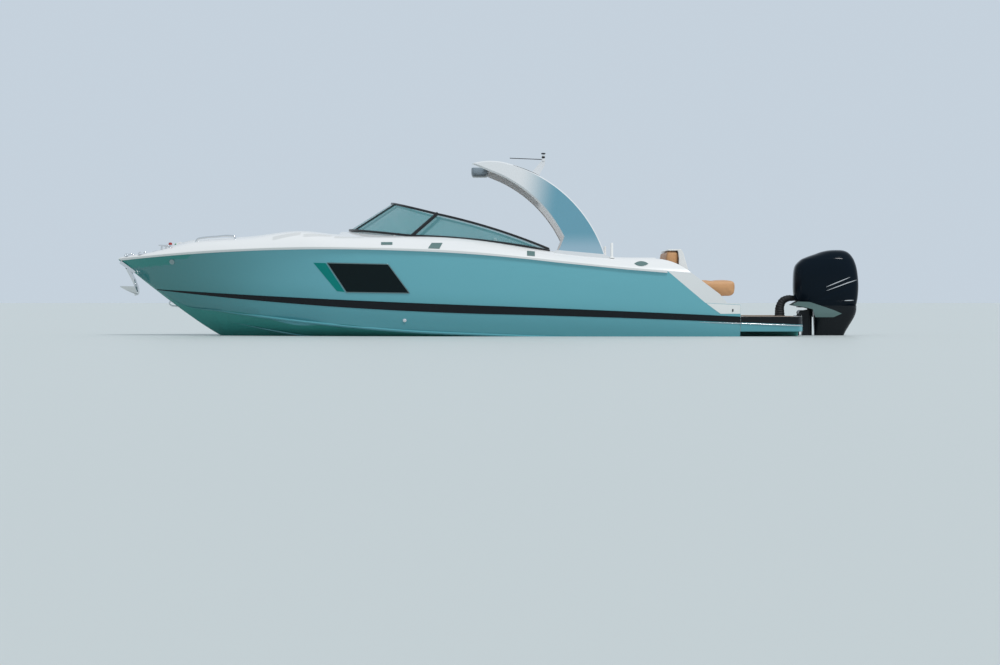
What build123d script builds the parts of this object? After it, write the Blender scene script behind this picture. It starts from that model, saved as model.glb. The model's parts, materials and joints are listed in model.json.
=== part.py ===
from build123d import *
import functools
import math
import os

# Open bow runabout, about 29 feet, with one outboard on a swim platform.
# X runs aft, Y to starboard and Z up, all in millimetres.
# The origin is amidships on the centreline at the waterline.

bow_x = -4454
transom_x = 3640
stern_x = 4454
seam = 0.3  # gap between separate mouldings on curved faces

# Lines of the hull and deck at each station, from bow to stern
# columns: x, keel z, chine y, chine z, flare, sheer y, sheer z, coaming y, coaming z, crown
stations = (
    (bow_x, 990, 8, 994, 1, 26, 1007, 10, 1014, 3),
    (-4300, 867, 24, 884, -3, 172, 1022, 70, 1042, 10),
    (-4000, 626, 62, 655, -12, 390, 1045, 215, 1080, 22),
    (-3600, 323, 130, 405, -25, 600, 1075, 400, 1185, 35),
    (-3100, -5, 385, 325, -30, 820, 1105, 630, 1245, 50),
    (-2500, -240, 630, 245, -25, 1010, 1128, 820, 1285, 60),
    (-1700, -400, 850, 155, -10, 1165, 1140, 960, 1305, 75),
    (-700, -470, 1000, 68, 10, 1265, 1121, 1060, 1272, 90),
    (600, -495, 1090, 10, 20, 1308, 1043, 1115, 1183, 60),
    (1300, -500, 1105, -15, 25, 1310, 968, 1125, 1075, 50),
    (2200, -500, 1112, -45, 25, 1303, 878, 1105, 1008, 40),
    (transom_x, -500, 1105, -80, 20, 1262, 760, 1085, 930, 30),
    (stern_x, -500, 1095, -90, 20, 1238, 700, 1065, 890, 30),
)
side_deck_bulge = 0.06  # how far the side deck stands out, as a share of its width
side_deck_rise = 0.12
rim_above = 2000  # any height above the whole boat
wide = 1600  # any half width beyond the beam

# Rub rail and the dark band along the topsides
rub_thick = 22
rub_below = 26
rub_above = 12
rub_stem_half = 48
band_thick = 4

# Wells
bow_sole_z = 420
bow_seat_z = 790
cockpit_sole_z = 300
transom_seat_z = 530
dash_x = -820
bow_bulkhead_x = -1500
aisle_half = 270
cockpit_aft_x = 3000
gate_inner_y = 480
gate_outer_y = 1000

# Swim platform and the engine pod under it
platform_top_z = 255
platform_low_z = 60
platform_corner = 260
motor_well_x = 4130
motor_well_half = 380
motor_well_z = 110
pod_half = 430

# Arch
arch_y = 1110
arch_thick = 100
arch_lean = 4
roof_rise = 36  # crown of the roof at the centreline
roof_hollow = 142  # how far its front edge is drawn back at the centreline
roof_inset = 90  # the roof ends this far inside the legs' feet, within their lean

# Windscreen
glass_thick = 6
rail_r = 14  # half the rail's width
post_r = 22
post_past = 16

# Helm: the console's sloping face runs from its low edge to its high edge
face_low_x = -520
face_low_z = 1030
face_high_x = -620
face_high_z = 1203
wheel_tilt = 30
wheel_stand = 120
wheel_r = 180
helm_y = 560
column_r = 42

# Seats and mats
seat_x = 200
seat_half = 268
seat_rest_shift = 1.1  # brings the back cushion against its shell
mat_thick = 6
bench_end_y = 455
bow_door_x = -1475
bow_door_y = -252
gate_x = 3022
gate_y = 500
hinge_pin_r = 7
hatch_x = -3634

# Outboard: the tilt pin, the steering line and the shaft line
tilt_x = 4530
tilt_z = 300
tilt_pin_r = 16
steer_x = 4640
steer_tube_r = 20
cowl_low_z = 392
cowl_skin = 9
pan_deep = 24  # the closing pan under the cowl
prop_x = 5190
prop_z = -700
prop_r = 192
blade_count = 4
hub_r = 62


def closed_wire(place, start, *steps):
    """Closed wire: a step of two numbers is a straight run, of four an arc through the first pair."""
    edges, here = [], start
    for step in steps + (start,):
        there = step[-2:]
        if len(step) == 4:
            edges.append(Edge.make_three_point_arc(place(*here), place(*step[:2]), place(*there)))
        elif there != here:
            edges.append(Edge.make_line(place(*here), place(*there)))
        here = there
    return Wire(edges)


def side_prism(low_y, high_y, start, *steps):
    """An outline in side view, x and z, carried from one y to another."""
    wire = closed_wire(lambda x, z: (x, low_y, z), start, *steps)
    return Solid.extrude(Face(wire), Vector(0, high_y - low_y, 0))


def plan_prism(low_z, high_z, start, *steps):
    """An outline in plan, x and y, carried from one z to another."""
    wire = closed_wire(lambda x, y: (x, y, low_z), start, *steps)
    return Solid.extrude(Face(wire), Vector(0, 0, high_z - low_z))


def span(low, high):
    """A box between two corners."""
    size = [h - l for l, h in zip(low, high)]
    middle = [(h + l) / 2 for l, h in zip(low, high)]
    return Pos(*middle) * Box(*size)


def soft_box(low, high, radius):
    """A cushion's block between two corners: rounded upright edges and a bevelled top."""
    box = fillet(span(low, high).edges().filter_by(Axis.Z), radius)
    return chamfer(box.faces().sort_by(Axis.Z)[-1].edges(), radius * 0.6)


def rod(start, end, radius):
    """A round bar between two points."""
    a, b = Vector(*start), Vector(*end)
    return Solid.make_cylinder(radius, (b - a).length, Plane(origin=a, z_dir=b - a))


def pipe(points, bend, radius):
    """A round tube along straight runs with rounded corners."""
    path = FilletPolyline(*points, radius=bend)
    return sweep(Plane(origin=path @ 0, z_dir=path % 0) * Circle(radius), path=path)


def both_sides(*solids):
    """The solids and their mirror images across the centreline."""
    return [*solids, *(mirror(s, about=Plane.XZ) for s in solids)]


def write(node, *solids):
    """One STEP file for a node, from its separate solids."""
    loose = [s for piece in solids for s in piece.solids()]
    export_step(loose[0] if len(loose) == 1 else Compound(children=loose), f"parts/{node}.step")


def line_at(x, column):
    """A column of the station table at any x, by straight interpolation."""
    for fore, aft in zip(stations, stations[1:]):
        if fore[0] <= x <= aft[0]:
            share = (x - fore[0]) / (aft[0] - fore[0])
            return fore[column] + share * (aft[column] - fore[column])
    raise ValueError(x)


def station_wire(row, side, lift):
    """One closed frame of the boat: bottom, topsides, side decks and crowned top."""
    x, keel_z, chine_y, chine_z, flare, sheer_y, sheer_z, coaming_y, coaming_z, crown = row
    keel = (x, 0, keel_z - side)
    deck_wide = sheer_y - coaming_y

    def half(hand):
        chine = (x, hand * (chine_y + side), chine_z)
        waist = (x, hand * ((chine_y + sheer_y) / 2 + flare + side), (chine_z + sheer_z) / 2)
        sheer = (x, hand * (sheer_y + side), sheer_z + lift)
        bulge_y = (sheer_y + coaming_y) / 2 + side_deck_bulge * deck_wide + side
        bulge_z = (sheer_z + coaming_z) / 2 + side_deck_rise * deck_wide + lift
        coaming = (x, hand * (coaming_y + side), coaming_z + lift)
        return [
            Edge.make_line(keel, chine),
            Edge.make_three_point_arc(chine, waist, sheer),
            Edge.make_three_point_arc(sheer, (x, hand * bulge_y, bulge_z), coaming),
        ]

    port_end = (x, -coaming_y - side, coaming_z + lift)
    starboard_end = (x, coaming_y + side, coaming_z + lift)
    top = Edge.make_three_point_arc(starboard_end, (x, 0, coaming_z + crown + lift), port_end)
    return Wire(half(1) + [top] + half(-1))


@functools.cache
def boat_form(side=0.0, lift=0.0):
    """The whole outer form of hull and deck, grown outwards by side and upwards by lift."""
    return Solid.make_loft([station_wire(row, side, lift) for row in stations])


def sheer_steps():
    """The sheer in side view from the bow, down the slope at the stern, as arcs and lines."""
    z = {row[0]: row[6] for row in stations}
    return (
        (-3600, z[-3600], -2500, z[-2500]),
        (-1700, z[-1700], -700, z[-700]),
        (600, z[600], 1300, z[1300]),
        (2200, z[2200]),
        (2700, line_at(2700, 6)),
        (3190, 428),
        (transom_x, 405),
    )


def above_sheer(lift=0.0):
    """Everything above the seam between hull and deck."""
    steps = [tuple(v + lift * (n % 2) for n, v in enumerate(s)) for s in sheer_steps()]
    start = (bow_x, stations[0][6] + lift)
    past = stern_x + 50
    return side_prism(
        -wide, wide, (bow_x - 50, start[1] - 4), start, *steps, (past, steps[-1][1]),
        (past, rim_above), (bow_x - 50, rim_above),
    )


def above_quarters():
    """Everything above the slope that ends the side decks at the stern."""
    return side_prism(
        -wide, wide, (2560, 995), (2800, 940, 2960, 847), (3370, 542), (3470, 428),
        (transom_x + 10, 406), (stern_x + 50, 406), (stern_x + 50, rim_above), (2560, rim_above),
    )


def bow_well():
    """The open well in the bow: seats along both sides and an aisle between them."""
    seats = plan_prism(
        bow_seat_z, rim_above, (-3400, -260), (-3100, -430), (-2500, -640), (-1700, -800),
        (bow_bulkhead_x, -820), (bow_bulkhead_x, 820), (-1700, 800), (-2500, 640),
        (-3100, 430), (-3400, 260),
    )
    aisle = span((-2750, -aisle_half, bow_sole_z), (dash_x + 5, aisle_half, rim_above))
    return [seats, aisle]


def cockpit_well():
    """The cockpit, the seat ledge at the transom and the way through to the platform."""
    cockpit = plan_prism(
        cockpit_sole_z, rim_above, (dash_x, -950), (-559, -955), (600, -1035), (1300, -1050),
        (2200, -1045), (cockpit_aft_x, -1010), (cockpit_aft_x, 1010), (2200, 1045),
        (1300, 1050), (600, 1035), (-559, 955), (dash_x, 950),
    )
    ledge = span((cockpit_aft_x - 5, -1000, transom_seat_z), (stern_x, gate_inner_y + 5, rim_above))
    passage = span(
        (cockpit_aft_x - 5, gate_inner_y, cockpit_sole_z), (stern_x, gate_outer_y, rim_above)
    )
    return [cockpit, ledge, passage]


def anchor_locker():
    """The recess in the foredeck that the hatch closes."""
    return span((-4040, -125, 950), (-3640, 125, rim_above))


def window_outline(margin=0.0):
    """The slanted window in the topsides, in side view."""
    return (
        (-1636 - margin, 938 + margin), (-858 + margin / 2, 919 + margin),
        (-590 + margin, 555 - margin), (-1394 - margin / 2, 568 - margin),
    )


def make_hull(form):
    wells = bow_well() + cockpit_well() + [anchor_locker()]
    body = form - above_sheer()
    aft_cut = span((transom_x, -wide, platform_low_z), (stern_x + 50, wide, rim_above))
    pod_sides = [
        span((transom_x, pod_half, -600), (stern_x + 50, wide, rim_above)),
        span((transom_x, -wide, -600), (stern_x + 50, -pod_half, rim_above)),
    ]
    for tool in wells + [aft_cut] + pod_sides:
        body = body - tool
    return body


def make_deck(form):
    body = form & above_sheer(seam)
    body = body - above_quarters()
    body = body - span((transom_x, -wide, -600), (stern_x + 50, wide, rim_above))
    for tool in bow_well() + cockpit_well() + [anchor_locker()]:
        body = body - tool
    return body


def sheer_band(low, high):
    """A band that follows the sheer from the bow to the stern slope."""
    steps = [tuple(v + high * (n % 2) for n, v in enumerate(s)) for s in sheer_steps()[:-2]]
    back = [tuple(v + low * (n % 2) for n, v in enumerate(s)) for s in sheer_steps()[:-2]]
    ends = [(bow_x, stations[0][6] + high)] + [s[-2:] for s in steps]
    lows = [(bow_x, stations[0][6] + low)] + [s[-2:] for s in back]
    path = []
    for n in range(len(back) - 1, -1, -1):
        middle = back[n][:2] if len(back[n]) == 4 else ()
        path.append(middle + lows[n])
    return side_prism(-wide, wide, ends[0], *steps, lows[-1], *path)


def make_rub_rail():
    outer = boat_form(side=rub_thick) & sheer_band(-rub_below, rub_above)
    stem_gap = span((bow_x - 50, -rub_stem_half, 0), (bow_x + 80, rub_stem_half, rim_above))
    return outer - boat_form(side=2 * seam) - stem_gap


def make_boot_stripe():
    """The dark band along the topsides, from a point at the stem to the platform's end."""
    band = side_prism(
        -wide, wide, (-3955, 606), (-2500, 520, 571, 386), (2200, 320, transom_x, 254),
        (stern_x, 250), (stern_x, 134), (transom_x, 176), (2200, 235, 571, 282),
        (-2500, 452, -3955, 600),
    )
    skin = (boat_form(side=seam + band_thick) & band) - boat_form(side=seam)
    return skin - span((transom_x - 1, -wide, -600), (stern_x + 50, wide, rim_above))


def make_windows():
    frame = side_prism(-wide, wide, *window_outline())
    return (boat_form(side=seam + 5) & frame) - boat_form(side=seam)


def make_window_accents():
    strip = side_prism(-wide, wide, (-1818, 942), (-1660, 938), (-1418, 568), (-1520, 580))
    return (boat_form(side=seam + 3) & strip) - boat_form(side=seam)


def make_platform():
    low, high = platform_low_z + seam, platform_top_z
    form = boat_form() & span((transom_x + 1, -wide, low), (stern_x, wide, high))
    reach = line_at(stern_x, 5)
    plan = span((transom_x - 500, -reach, low - 1), (stern_x, reach, high + 1))
    aft = plan.edges().filter_by(Axis.Z).sort_by(Axis.X)[-2:]
    well = span((motor_well_x, -motor_well_half, motor_well_z), (stern_x + 50, motor_well_half, high + 1))
    return (form & fillet(aft, platform_corner)) - well


def make_arch_leg():
    """A blade that rises from the side deck and sweeps forward to a point."""
    blade = side_prism(
        -arch_thick / 2, arch_thick / 2, (1262, 1000), (1336, 1129), (1387, 1256),
        (1081, 1700, 571, 2066), (214, 2213), (440, 2247, 700, 2208), (1464, 1767, 1924, 1000),
    )
    blade = chamfer(blade.edges().filter_by(GeomType.CIRCLE), 14)
    pivot = Axis((0, 0, 1060), (1, 0, 0))
    leg = blade.rotate(pivot, arch_lean).translate((0, arch_y, 0))
    foot = side_prism(
        1050, 1180, (1240, 950), (1240, 1075), (1290, 1105), (1900, 1050), (1960, 1020), (1960, 940)
    )
    return leg, foot


def make_arch():
    leg, foot = make_arch_leg()
    form = boat_form(side=seam, lift=seam)
    plinth = fillet(foot.edges().filter_by(Axis.Y), 8) - form
    legs = both_sides((leg + plinth) - form)
    reach = arch_y - roof_inset
    sections = []
    for y, rise, back in ((-reach, 0, 0), (0, roof_rise, roof_hollow), (reach, 0, 0)):
        sections.append(closed_wire(
            lambda x, z, y=y, rise=rise: (x, y, z + rise),
            (244 + back, 2203), (450 + back / 2, 2240, 700, 2200), (960, 2085, 1180, 1950),
            (1130, 1920), (920, 2030, 680, 2128), (490 + back / 2, 2172, 312 + back, 2178),
        ))
    roof = Solid.make_loft(sections)
    for leg in legs:
        roof = roof - leg
    return legs, roof


def corner_points():
    """The windscreen's corners: foot and head at the centre, at the corner post and aft."""
    return {
        "centre_foot": (-1407, 0, 1383), "corner_foot": (-559, 1010, 1290),
        "centre_head": (-853, 0, 1732), "corner_head": (-238, 955, 1571),
        "side_foot": (400, 1068, 1222), "side_head": (571, 1040, 1352),
        "tail_foot": (1210, 1094, 1096), "tail_head": (1200, 1092, 1118),
    }


def flip(point):
    return (point[0], -point[1], point[2])


def swept_rail(edge, radius):
    """A square rail along an edge."""
    return sweep(Plane(origin=edge @ 0, z_dir=edge % 0) * Rectangle(2 * radius, 2 * radius), path=edge)


def make_windscreen():
    p = corner_points()
    foot = Edge.make_three_point_arc(flip(p["corner_foot"]), p["centre_foot"], p["corner_foot"])
    head = Edge.make_three_point_arc(flip(p["corner_head"]), p["centre_head"], p["corner_head"])
    side_foot = Edge.make_three_point_arc(p["corner_foot"], p["side_foot"], p["tail_foot"])
    side_head = Edge.make_three_point_arc(p["corner_head"], p["side_head"], p["tail_head"])
    rails = swept_rail(foot, rail_r) + swept_rail(head, rail_r)
    for edge in (side_foot, side_head):
        rail = swept_rail(edge, rail_r)
        rails = rails + rail + mirror(rail, about=Plane.XZ)
    along = (Vector(*p["corner_head"]) - Vector(*p["corner_foot"])).normalized() * post_past
    post_ends = Vector(*p["corner_foot"]) - along, Vector(*p["corner_head"]) + along
    post = rod(*post_ends, post_r)
    rails = rails + post + mirror(post, about=Plane.XZ)
    mullions = []
    for share in (0.345, 0.655):
        mullions.append((tuple(foot @ share), tuple(head @ share)))
    for low, high in mullions:
        rails = rails + rod(low, high, rail_r)
    frame = rails - boat_form(side=seam, lift=seam)
    front = Solid.thicken(Face.make_surface_from_curves(foot, head), glass_thick / 2)
    side = Solid.thicken(Face.make_surface_from_curves(side_foot, side_head), glass_thick / 2)
    fat = swept_rail(foot, rail_r + seam) + swept_rail(head, rail_r + seam)
    for low, high in mullions:
        fat = fat + rod(low, high, rail_r + seam)
    fat_post = rod(*post_ends, post_r + seam)
    front = front - fat - fat_post - mirror(fat_post, about=Plane.XZ)
    front_glass = front.solids().sort_by(SortBy.VOLUME)[-3:]
    side_fat = swept_rail(side_foot, rail_r + seam) + swept_rail(side_head, rail_r + seam) + fat_post
    side_glass = (side - side_fat).solids().sort_by(SortBy.VOLUME)[-1]
    return frame, front_glass, side_glass


def console_profile(low_y, high_y, top):
    """A moulded console from the cockpit sole up to the brow, with a sloping face."""
    return side_prism(
        low_y, high_y, (dash_x + seam, cockpit_sole_z), (-690, cockpit_sole_z), (-650, 700),
        (face_low_x, face_low_z), (face_high_x, face_high_z), (-690, top - 20),
        (dash_x + seam, top),
    )


def face_point(share, proud=0.0, y=0.0):
    """A point on the console's sloping face, proud of it by so much."""
    lean = math.radians(wheel_tilt)
    x = face_low_x + share * (face_high_x - face_low_x) + proud * math.cos(lean)
    z = face_low_z + share * (face_high_z - face_low_z) + proud * math.sin(lean)
    return (x, y, z)


def make_consoles():
    inner, outer = aisle_half + 20, 900
    helm = console_profile(inner, outer, 1262)
    column = rod(face_point(0.5, -5, helm_y), face_point(0.5, 70, helm_y), column_r)
    companion = console_profile(-outer, -inner, 1262)
    return helm + column, companion


def make_dash_panel():
    """The instrument panel, a plate on the helm console's face round the steering column."""
    low, high = face_point(0.08, seam), face_point(0.94, seam)
    low_out, high_out = face_point(0.08, seam + 10), face_point(0.94, seam + 10)
    plate = side_prism(
        helm_y - 230, helm_y + 230, low[::2], low_out[::2], high_out[::2], high[::2]
    )
    return plate - rod(face_point(0.5, -20, helm_y), face_point(0.5, 90, helm_y), column_r + seam)


def make_steering_wheel():
    """A rim on three spokes, square to the column."""
    centre = Vector(*face_point(0.5, wheel_stand, helm_y))
    lean = math.radians(wheel_tilt)
    axis = Vector(math.cos(lean), 0, math.sin(lean))
    rim = Solid.make_torus(wheel_r, 13, Plane(origin=centre, z_dir=axis))
    boss = rod(tuple(centre - axis * (wheel_stand - 70 - seam)), tuple(centre + axis * 14), 38)
    wheel = rim + boss
    plane = Plane(origin=centre, x_dir=Vector(0, 1, 0), z_dir=axis)
    for angle in (-90, 30, 150):
        wheel = wheel + plane * Rot(0, 0, angle) * Pos(wheel_r / 2, 0, 0) * Box(wheel_r, 26, 9)
    return wheel


def make_throttle():
    """The engine control on the console's face, with its lever."""
    lean = math.radians(wheel_tilt)
    axis = Vector(math.cos(lean), 0, math.sin(lean))
    plane = Plane(origin=face_point(0.5, seam, helm_y + 285), x_dir=Vector(0, 1, 0), z_dir=axis)
    box = plane * Pos(0, 0, 20) * Box(56, 120, 40)
    lever = plane * Pos(0, 0, 70) * Box(14, 22, 70)
    knob = plane * Pos(0, 0, 112) * Box(60, 26, 22)
    return box + lever + knob


def make_seat(hand):
    """A bucket seat: a white shell and two cushions, over its pedestal."""
    x, y = seat_x, hand * helm_y
    half = seat_half
    shell = side_prism(
        y - half, y + half, (x - 255, 572), (x + 235, 572), (x + 300, 800, x + 332, 1240),
        (x + 316, 1268, x + 290, 1262), (x + 262, 900, x + 212, 700), (x + 190, 640),
        (x - 255, 640),
    )
    shell = fillet(shell.edges().filter_by(Axis.Y), 8)
    seat = soft_box((x - 265, y - half + 12, 640 + seam), (x + 150, y + half - 12, 780), 34)
    back = side_prism(
        y - half + 25, y + half - 25, (x + 118, 781), (x + 205, 781), (x + 250, 900, x + 284, 1235),
        (x + 190, 1235), (x + 150, 1000),
    )
    back = fillet(back.edges().filter_by(Axis.Y), 18).translate((seat_rest_shift, 0, 0))
    post = rod((x, y, cockpit_sole_z + mat_thick + seam), (x, y, 555 - seam), 48)
    post = post + rod((x, y, cockpit_sole_z + mat_thick + seam), (x, y, 322), 150)
    plate = rod((x, y, 555), (x, y, 572), 130)
    return shell + plate, [seat, back], post


def make_mats():
    top = cockpit_sole_z + mat_thick
    cockpit = plan_prism(
        cockpit_sole_z, top, (-630, -930), (600, -1015), (2130, -1025), (2130, 480), (3590, 500),
        (3590, 980), (2900, 990), (2130, 1025), (600, 1015), (-630, 930),
    )
    aisle = span((-2720, -255, bow_sole_z), (-850, 255, bow_sole_z + mat_thick))
    return cockpit, aisle


def make_bow_seats():
    """Cushions along both sides of the bow and a backrest on each bulkhead."""
    low, high = bow_seat_z + seam, bow_seat_z + 90
    pad = plan_prism(
        low, high, (-3050, 6), (-2762, 6), (-2762, 285), (-1790, 285), (-1790, 765),
        (-2500, 620), (-3050, 425),
    )
    pad = fillet(pad.edges().filter_by(Axis.Z), 30)
    rest = side_prism(290, 780, (-1780, low), (-1506, low), (-1506, 1225), (-1600, 1225))
    rest = fillet(rest.edges().filter_by(Axis.Y), 22)
    return both_sides(pad), both_sides(rest)


def make_bow_door():
    """The door between the consoles, which turns on pins at its port edge."""
    x, y = bow_door_x, bow_door_y
    door = plan_prism(
        bow_sole_z + mat_thick + 7, 1290, (x - 12, y), (x - 12, 256), (x + 12, 256), (x + 12, y),
        (x, y - 12, x - 12, y),
    )
    foot = bow_sole_z + mat_thick + seam
    return door + rod((x, y, foot), (x, y, foot + 14), hinge_pin_r)


def make_transom_gate():
    """The gate across the way aft, which turns on pins at its inner edge."""
    x, y = gate_x, gate_y
    gate = plan_prism(
        cockpit_sole_z + mat_thick + 10, 860, (x - 13, y), (x - 13, gate_outer_y - 8),
        (x + 13, gate_outer_y - 8), (x + 13, y), (x, y - 13, x - 13, y),
    )
    foot = cockpit_sole_z + mat_thick + seam
    return gate + rod((x, y, foot), (x, y, foot + 24), hinge_pin_r)


def make_aft_bench():
    """The bench across the cockpit, with the shell that the aft lounge leans on."""
    base = span((2150, -1000, cockpit_sole_z), (2745, bench_end_y, 640))
    seats = [
        soft_box((2125, low, 640 + seam), (2670, high, 765), 34)
        for low, high in ((-985, -505), (-500, -20), (-15, bench_end_y - 10))
    ]
    back = side_prism(
        -985, bench_end_y - 10, (2675, 768 + seam), (2848, 768 + seam), (2863, 1000), (2848, 1092),
        (2710, 1092), (2690, 1040),
    )
    back = fillet(back.edges().filter_by(Axis.Y), 16)
    shell = side_prism(
        -1000, bench_end_y, (2746, cockpit_sole_z), (cockpit_aft_x - 6, cockpit_sole_z),
        (cockpit_aft_x - 6, transom_seat_z + seam), (3050, transom_seat_z + seam), (3040, 700),
        (2985, 860), (2925, 1065), (2895, 1118), (2728, 1118), (2716, 1097), (2852, 1097),
        (2864, 1000), (2856, 768), (2746, 768),
    )
    lounge = soft_box((3062, -950, transom_seat_z + seam), (3590, bench_end_y - 15, 713), 46)
    return base, seats, back, shell, lounge


def make_anchor_hatch():
    """The foredeck hatch, which turns about its aft edge."""
    low, high = (-4032, -118, 900), (-3648, 118, rim_above)
    lid = (boat_form() & span(low, high)) - boat_form(lift=-24)
    z = line_at(hatch_x, 8) + line_at(hatch_x, 9) + 10
    for y in (-80, 80):
        barrel = rod((hatch_x, y - 22, z), (hatch_x, y + 22, z), 9)
        tab = side_prism(
            y - 22, y + 22, (hatch_x, z - 8), (hatch_x, z + 8), (hatch_x - 50, z - 6),
            (hatch_x - 50, z - 36), (-3652, z - 28), (-3652, z - 9),
        )
        lid = lid + barrel + tab
    return lid


def make_rails():
    rail = pipe(
        ((-3405, 505, 1150), (-3345, 530, 1268), (-2880, 708, 1300), (-2835, 722, 1200)), 40, 12
    )
    return both_sides(rail - boat_form(side=seam, lift=seam))


def make_cleats():
    """Horn cleats on the bow and aft of the arch."""
    pieces = []
    for x, y in ((-3830, 255), (2480, 1175)):
        z = line_at(x, 8) + (12 if x < 0 else -30)
        bar = chamfer(span((x - 75, y - 10, z + 39), (x + 75, y + 10, z + 57)).edges(), 3)
        feet = [span((x + d - 11, y - 9, z - 60), (x + d + 11, y + 9, z + 45)) for d in (-28, 28)]
        pieces.append((bar + feet[0] + feet[1]) - boat_form(side=seam, lift=seam))
    return both_sides(*pieces)


def make_side_vents():
    """Small fittings let into the side decks: a slot, two vents and an oval."""
    outlines = (
        ((-945, 1170), (-800, 1170), (-800, 1205), (-945, 1205)),
        ((-345, 1125), (-200, 1118), (-160, 1195), (-300, 1195)),
        ((915, 1032), (1015, 1024), (1015, 1085), (915, 1095)),
    )
    pieces = []
    for start, *steps in outlines:
        pieces.append(side_prism(-wide, wide, start, *steps))
    oval = side_prism(-wide, wide, (2280, 930), (2370, 962, 2460, 930), (2370, 898, 2280, 930))
    made = []
    for prism in pieces + [oval]:
        skin = (boat_form(side=5, lift=1) & prism) - boat_form(side=seam, lift=seam)
        made.append(skin)
    return made


def make_docking_lights():
    disc = Pos(-3700, 0, 960) * Rot(90, 0, 0) * Cylinder(34, 2 * wide)
    return (boat_form(side=10) & disc) - boat_form(side=seam)


def make_bow_gear():
    """The stem plate with its roller, and the anchor that hangs from it."""
    plate = side_prism(
        -46, 46, (-4420, 985), (-4250, 860), (-4225, 835), (-4262, 818), (-4440, 950)
    )
    plate = plate - span((-4500, -22, 700), (-4230, 22, 940)) - boat_form(side=seam)
    shank = side_prism(
        -11, 11, (-4300, 905), (-4330, 880), (-4235, 640), (-4205, 560), (-4180, 575),
        (-4205, 650),
    )
    fluke = side_prism(
        -7, 7, (-4215, 660), (-4190, 560), (-4250, 505), (-4445, 600, -4420, 690), (-4330, 640)
    )
    left = fluke.rotate(Axis((-4215, 0, 600), (1, 0, 0.3)), 32)
    right = fluke.rotate(Axis((-4215, 0, 600), (1, 0, 0.3)), -32)
    anchor = (shank + left + right) - boat_form(side=seam)
    return plate, anchor


def make_bow_eye():
    loop = pipe(((-3690, 0, 470), (-3790, 0, 440), (-3790, 0, 400), (-3660, 0, 380)), 20, 9)
    return loop - boat_form(side=seam)


def make_mast_light(roof):
    fin = side_prism(
        -14, 14, (960, 2112), (1060, 2060), (1160, 2240), (1165, 2300), (1120, 2300)
    )
    mast = fin - roof - roof.translate((0, 0, seam)) + rod((1142, 0, 2295), (1142, 0, 2330), 24)
    lamp = rod((1142, 0, 2330 + seam), (1142, 0, 2405), 30)
    return mast, lamp


def make_antenna():
    return rod((1142 - 24 - seam, 0, 2318), (700, 0, 2335), 5)


def outboard_section(z, front, rear, half, corner):
    """A rounded rectangle at one height of the cowl."""
    sketch = Pos((front + rear) / 2, 0, z) * RectangleRounded(rear - front, 2 * half, corner)
    return sketch.wire()


def cowl_form(inset):
    """The cowl's form, set in from its outer skin by so much."""
    # columns: z, front x, rear x, half width, corner radius
    rows = (
        (cowl_low_z, 4480, 5262, 205, 120), (560, 4436, 5288, 238, 150),
        (800, 4438, 5278, 246, 165), (940, 4476, 5254, 236, 165),
        (1050, 4650, 5196, 196, 150), (1125, 4850, 5100, 110, 90),
    )
    wires = []
    for z, front, rear, half, corner in rows:
        height = z - inset if z > 1000 else z
        wires.append(outboard_section(height, front + inset, rear - inset, half - inset, corner - inset))
    return Solid.make_loft(wires)


def make_cowl():
    return cowl_form(0) - cowl_form(cowl_skin)


def make_brackets():
    """The clamp bracket on the pod and the swivel bracket that tilts in it."""
    clamp = span((stern_x + seam, -150, -120), (tilt_x - 30, 150, 262))
    clamp = clamp + rod((tilt_x, -150, tilt_z), (tilt_x, -122, tilt_z), 34)
    clamp = clamp + rod((tilt_x, 122, tilt_z), (tilt_x, 150, tilt_z), 34)
    for y in (-150, 122):
        ear = side_prism(
            y, y + 28, (stern_x + 40, 200), (tilt_x, tilt_z - 33), (tilt_x, tilt_z + 33),
            (stern_x + 40, 262),
        )
        clamp = clamp + ear
    clamp = clamp - rod((tilt_x, -160, tilt_z), (tilt_x, 160, tilt_z), tilt_pin_r + 0.2)
    swivel = rod((tilt_x, -148, tilt_z), (tilt_x, 148, tilt_z), tilt_pin_r)
    swivel = swivel + rod((tilt_x, -116, tilt_z), (tilt_x, 116, tilt_z), 30)
    swivel = swivel + side_prism(
        -60, 60, (tilt_x - 2, tilt_z + 28), (steer_x - 10, tilt_z + 40), (steer_x - 10, -60),
        (tilt_x + 20, -60), (tilt_x + 20, tilt_z - 40), (tilt_x - 2, tilt_z - 28),
    )
    swivel = swivel + rod((steer_x, 0, -60), (steer_x, 0, tilt_z + 40), 44)
    swivel = swivel - rod((steer_x, 0, -80), (steer_x, 0, 400), steer_tube_r + 0.2)
    return clamp, swivel


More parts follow.
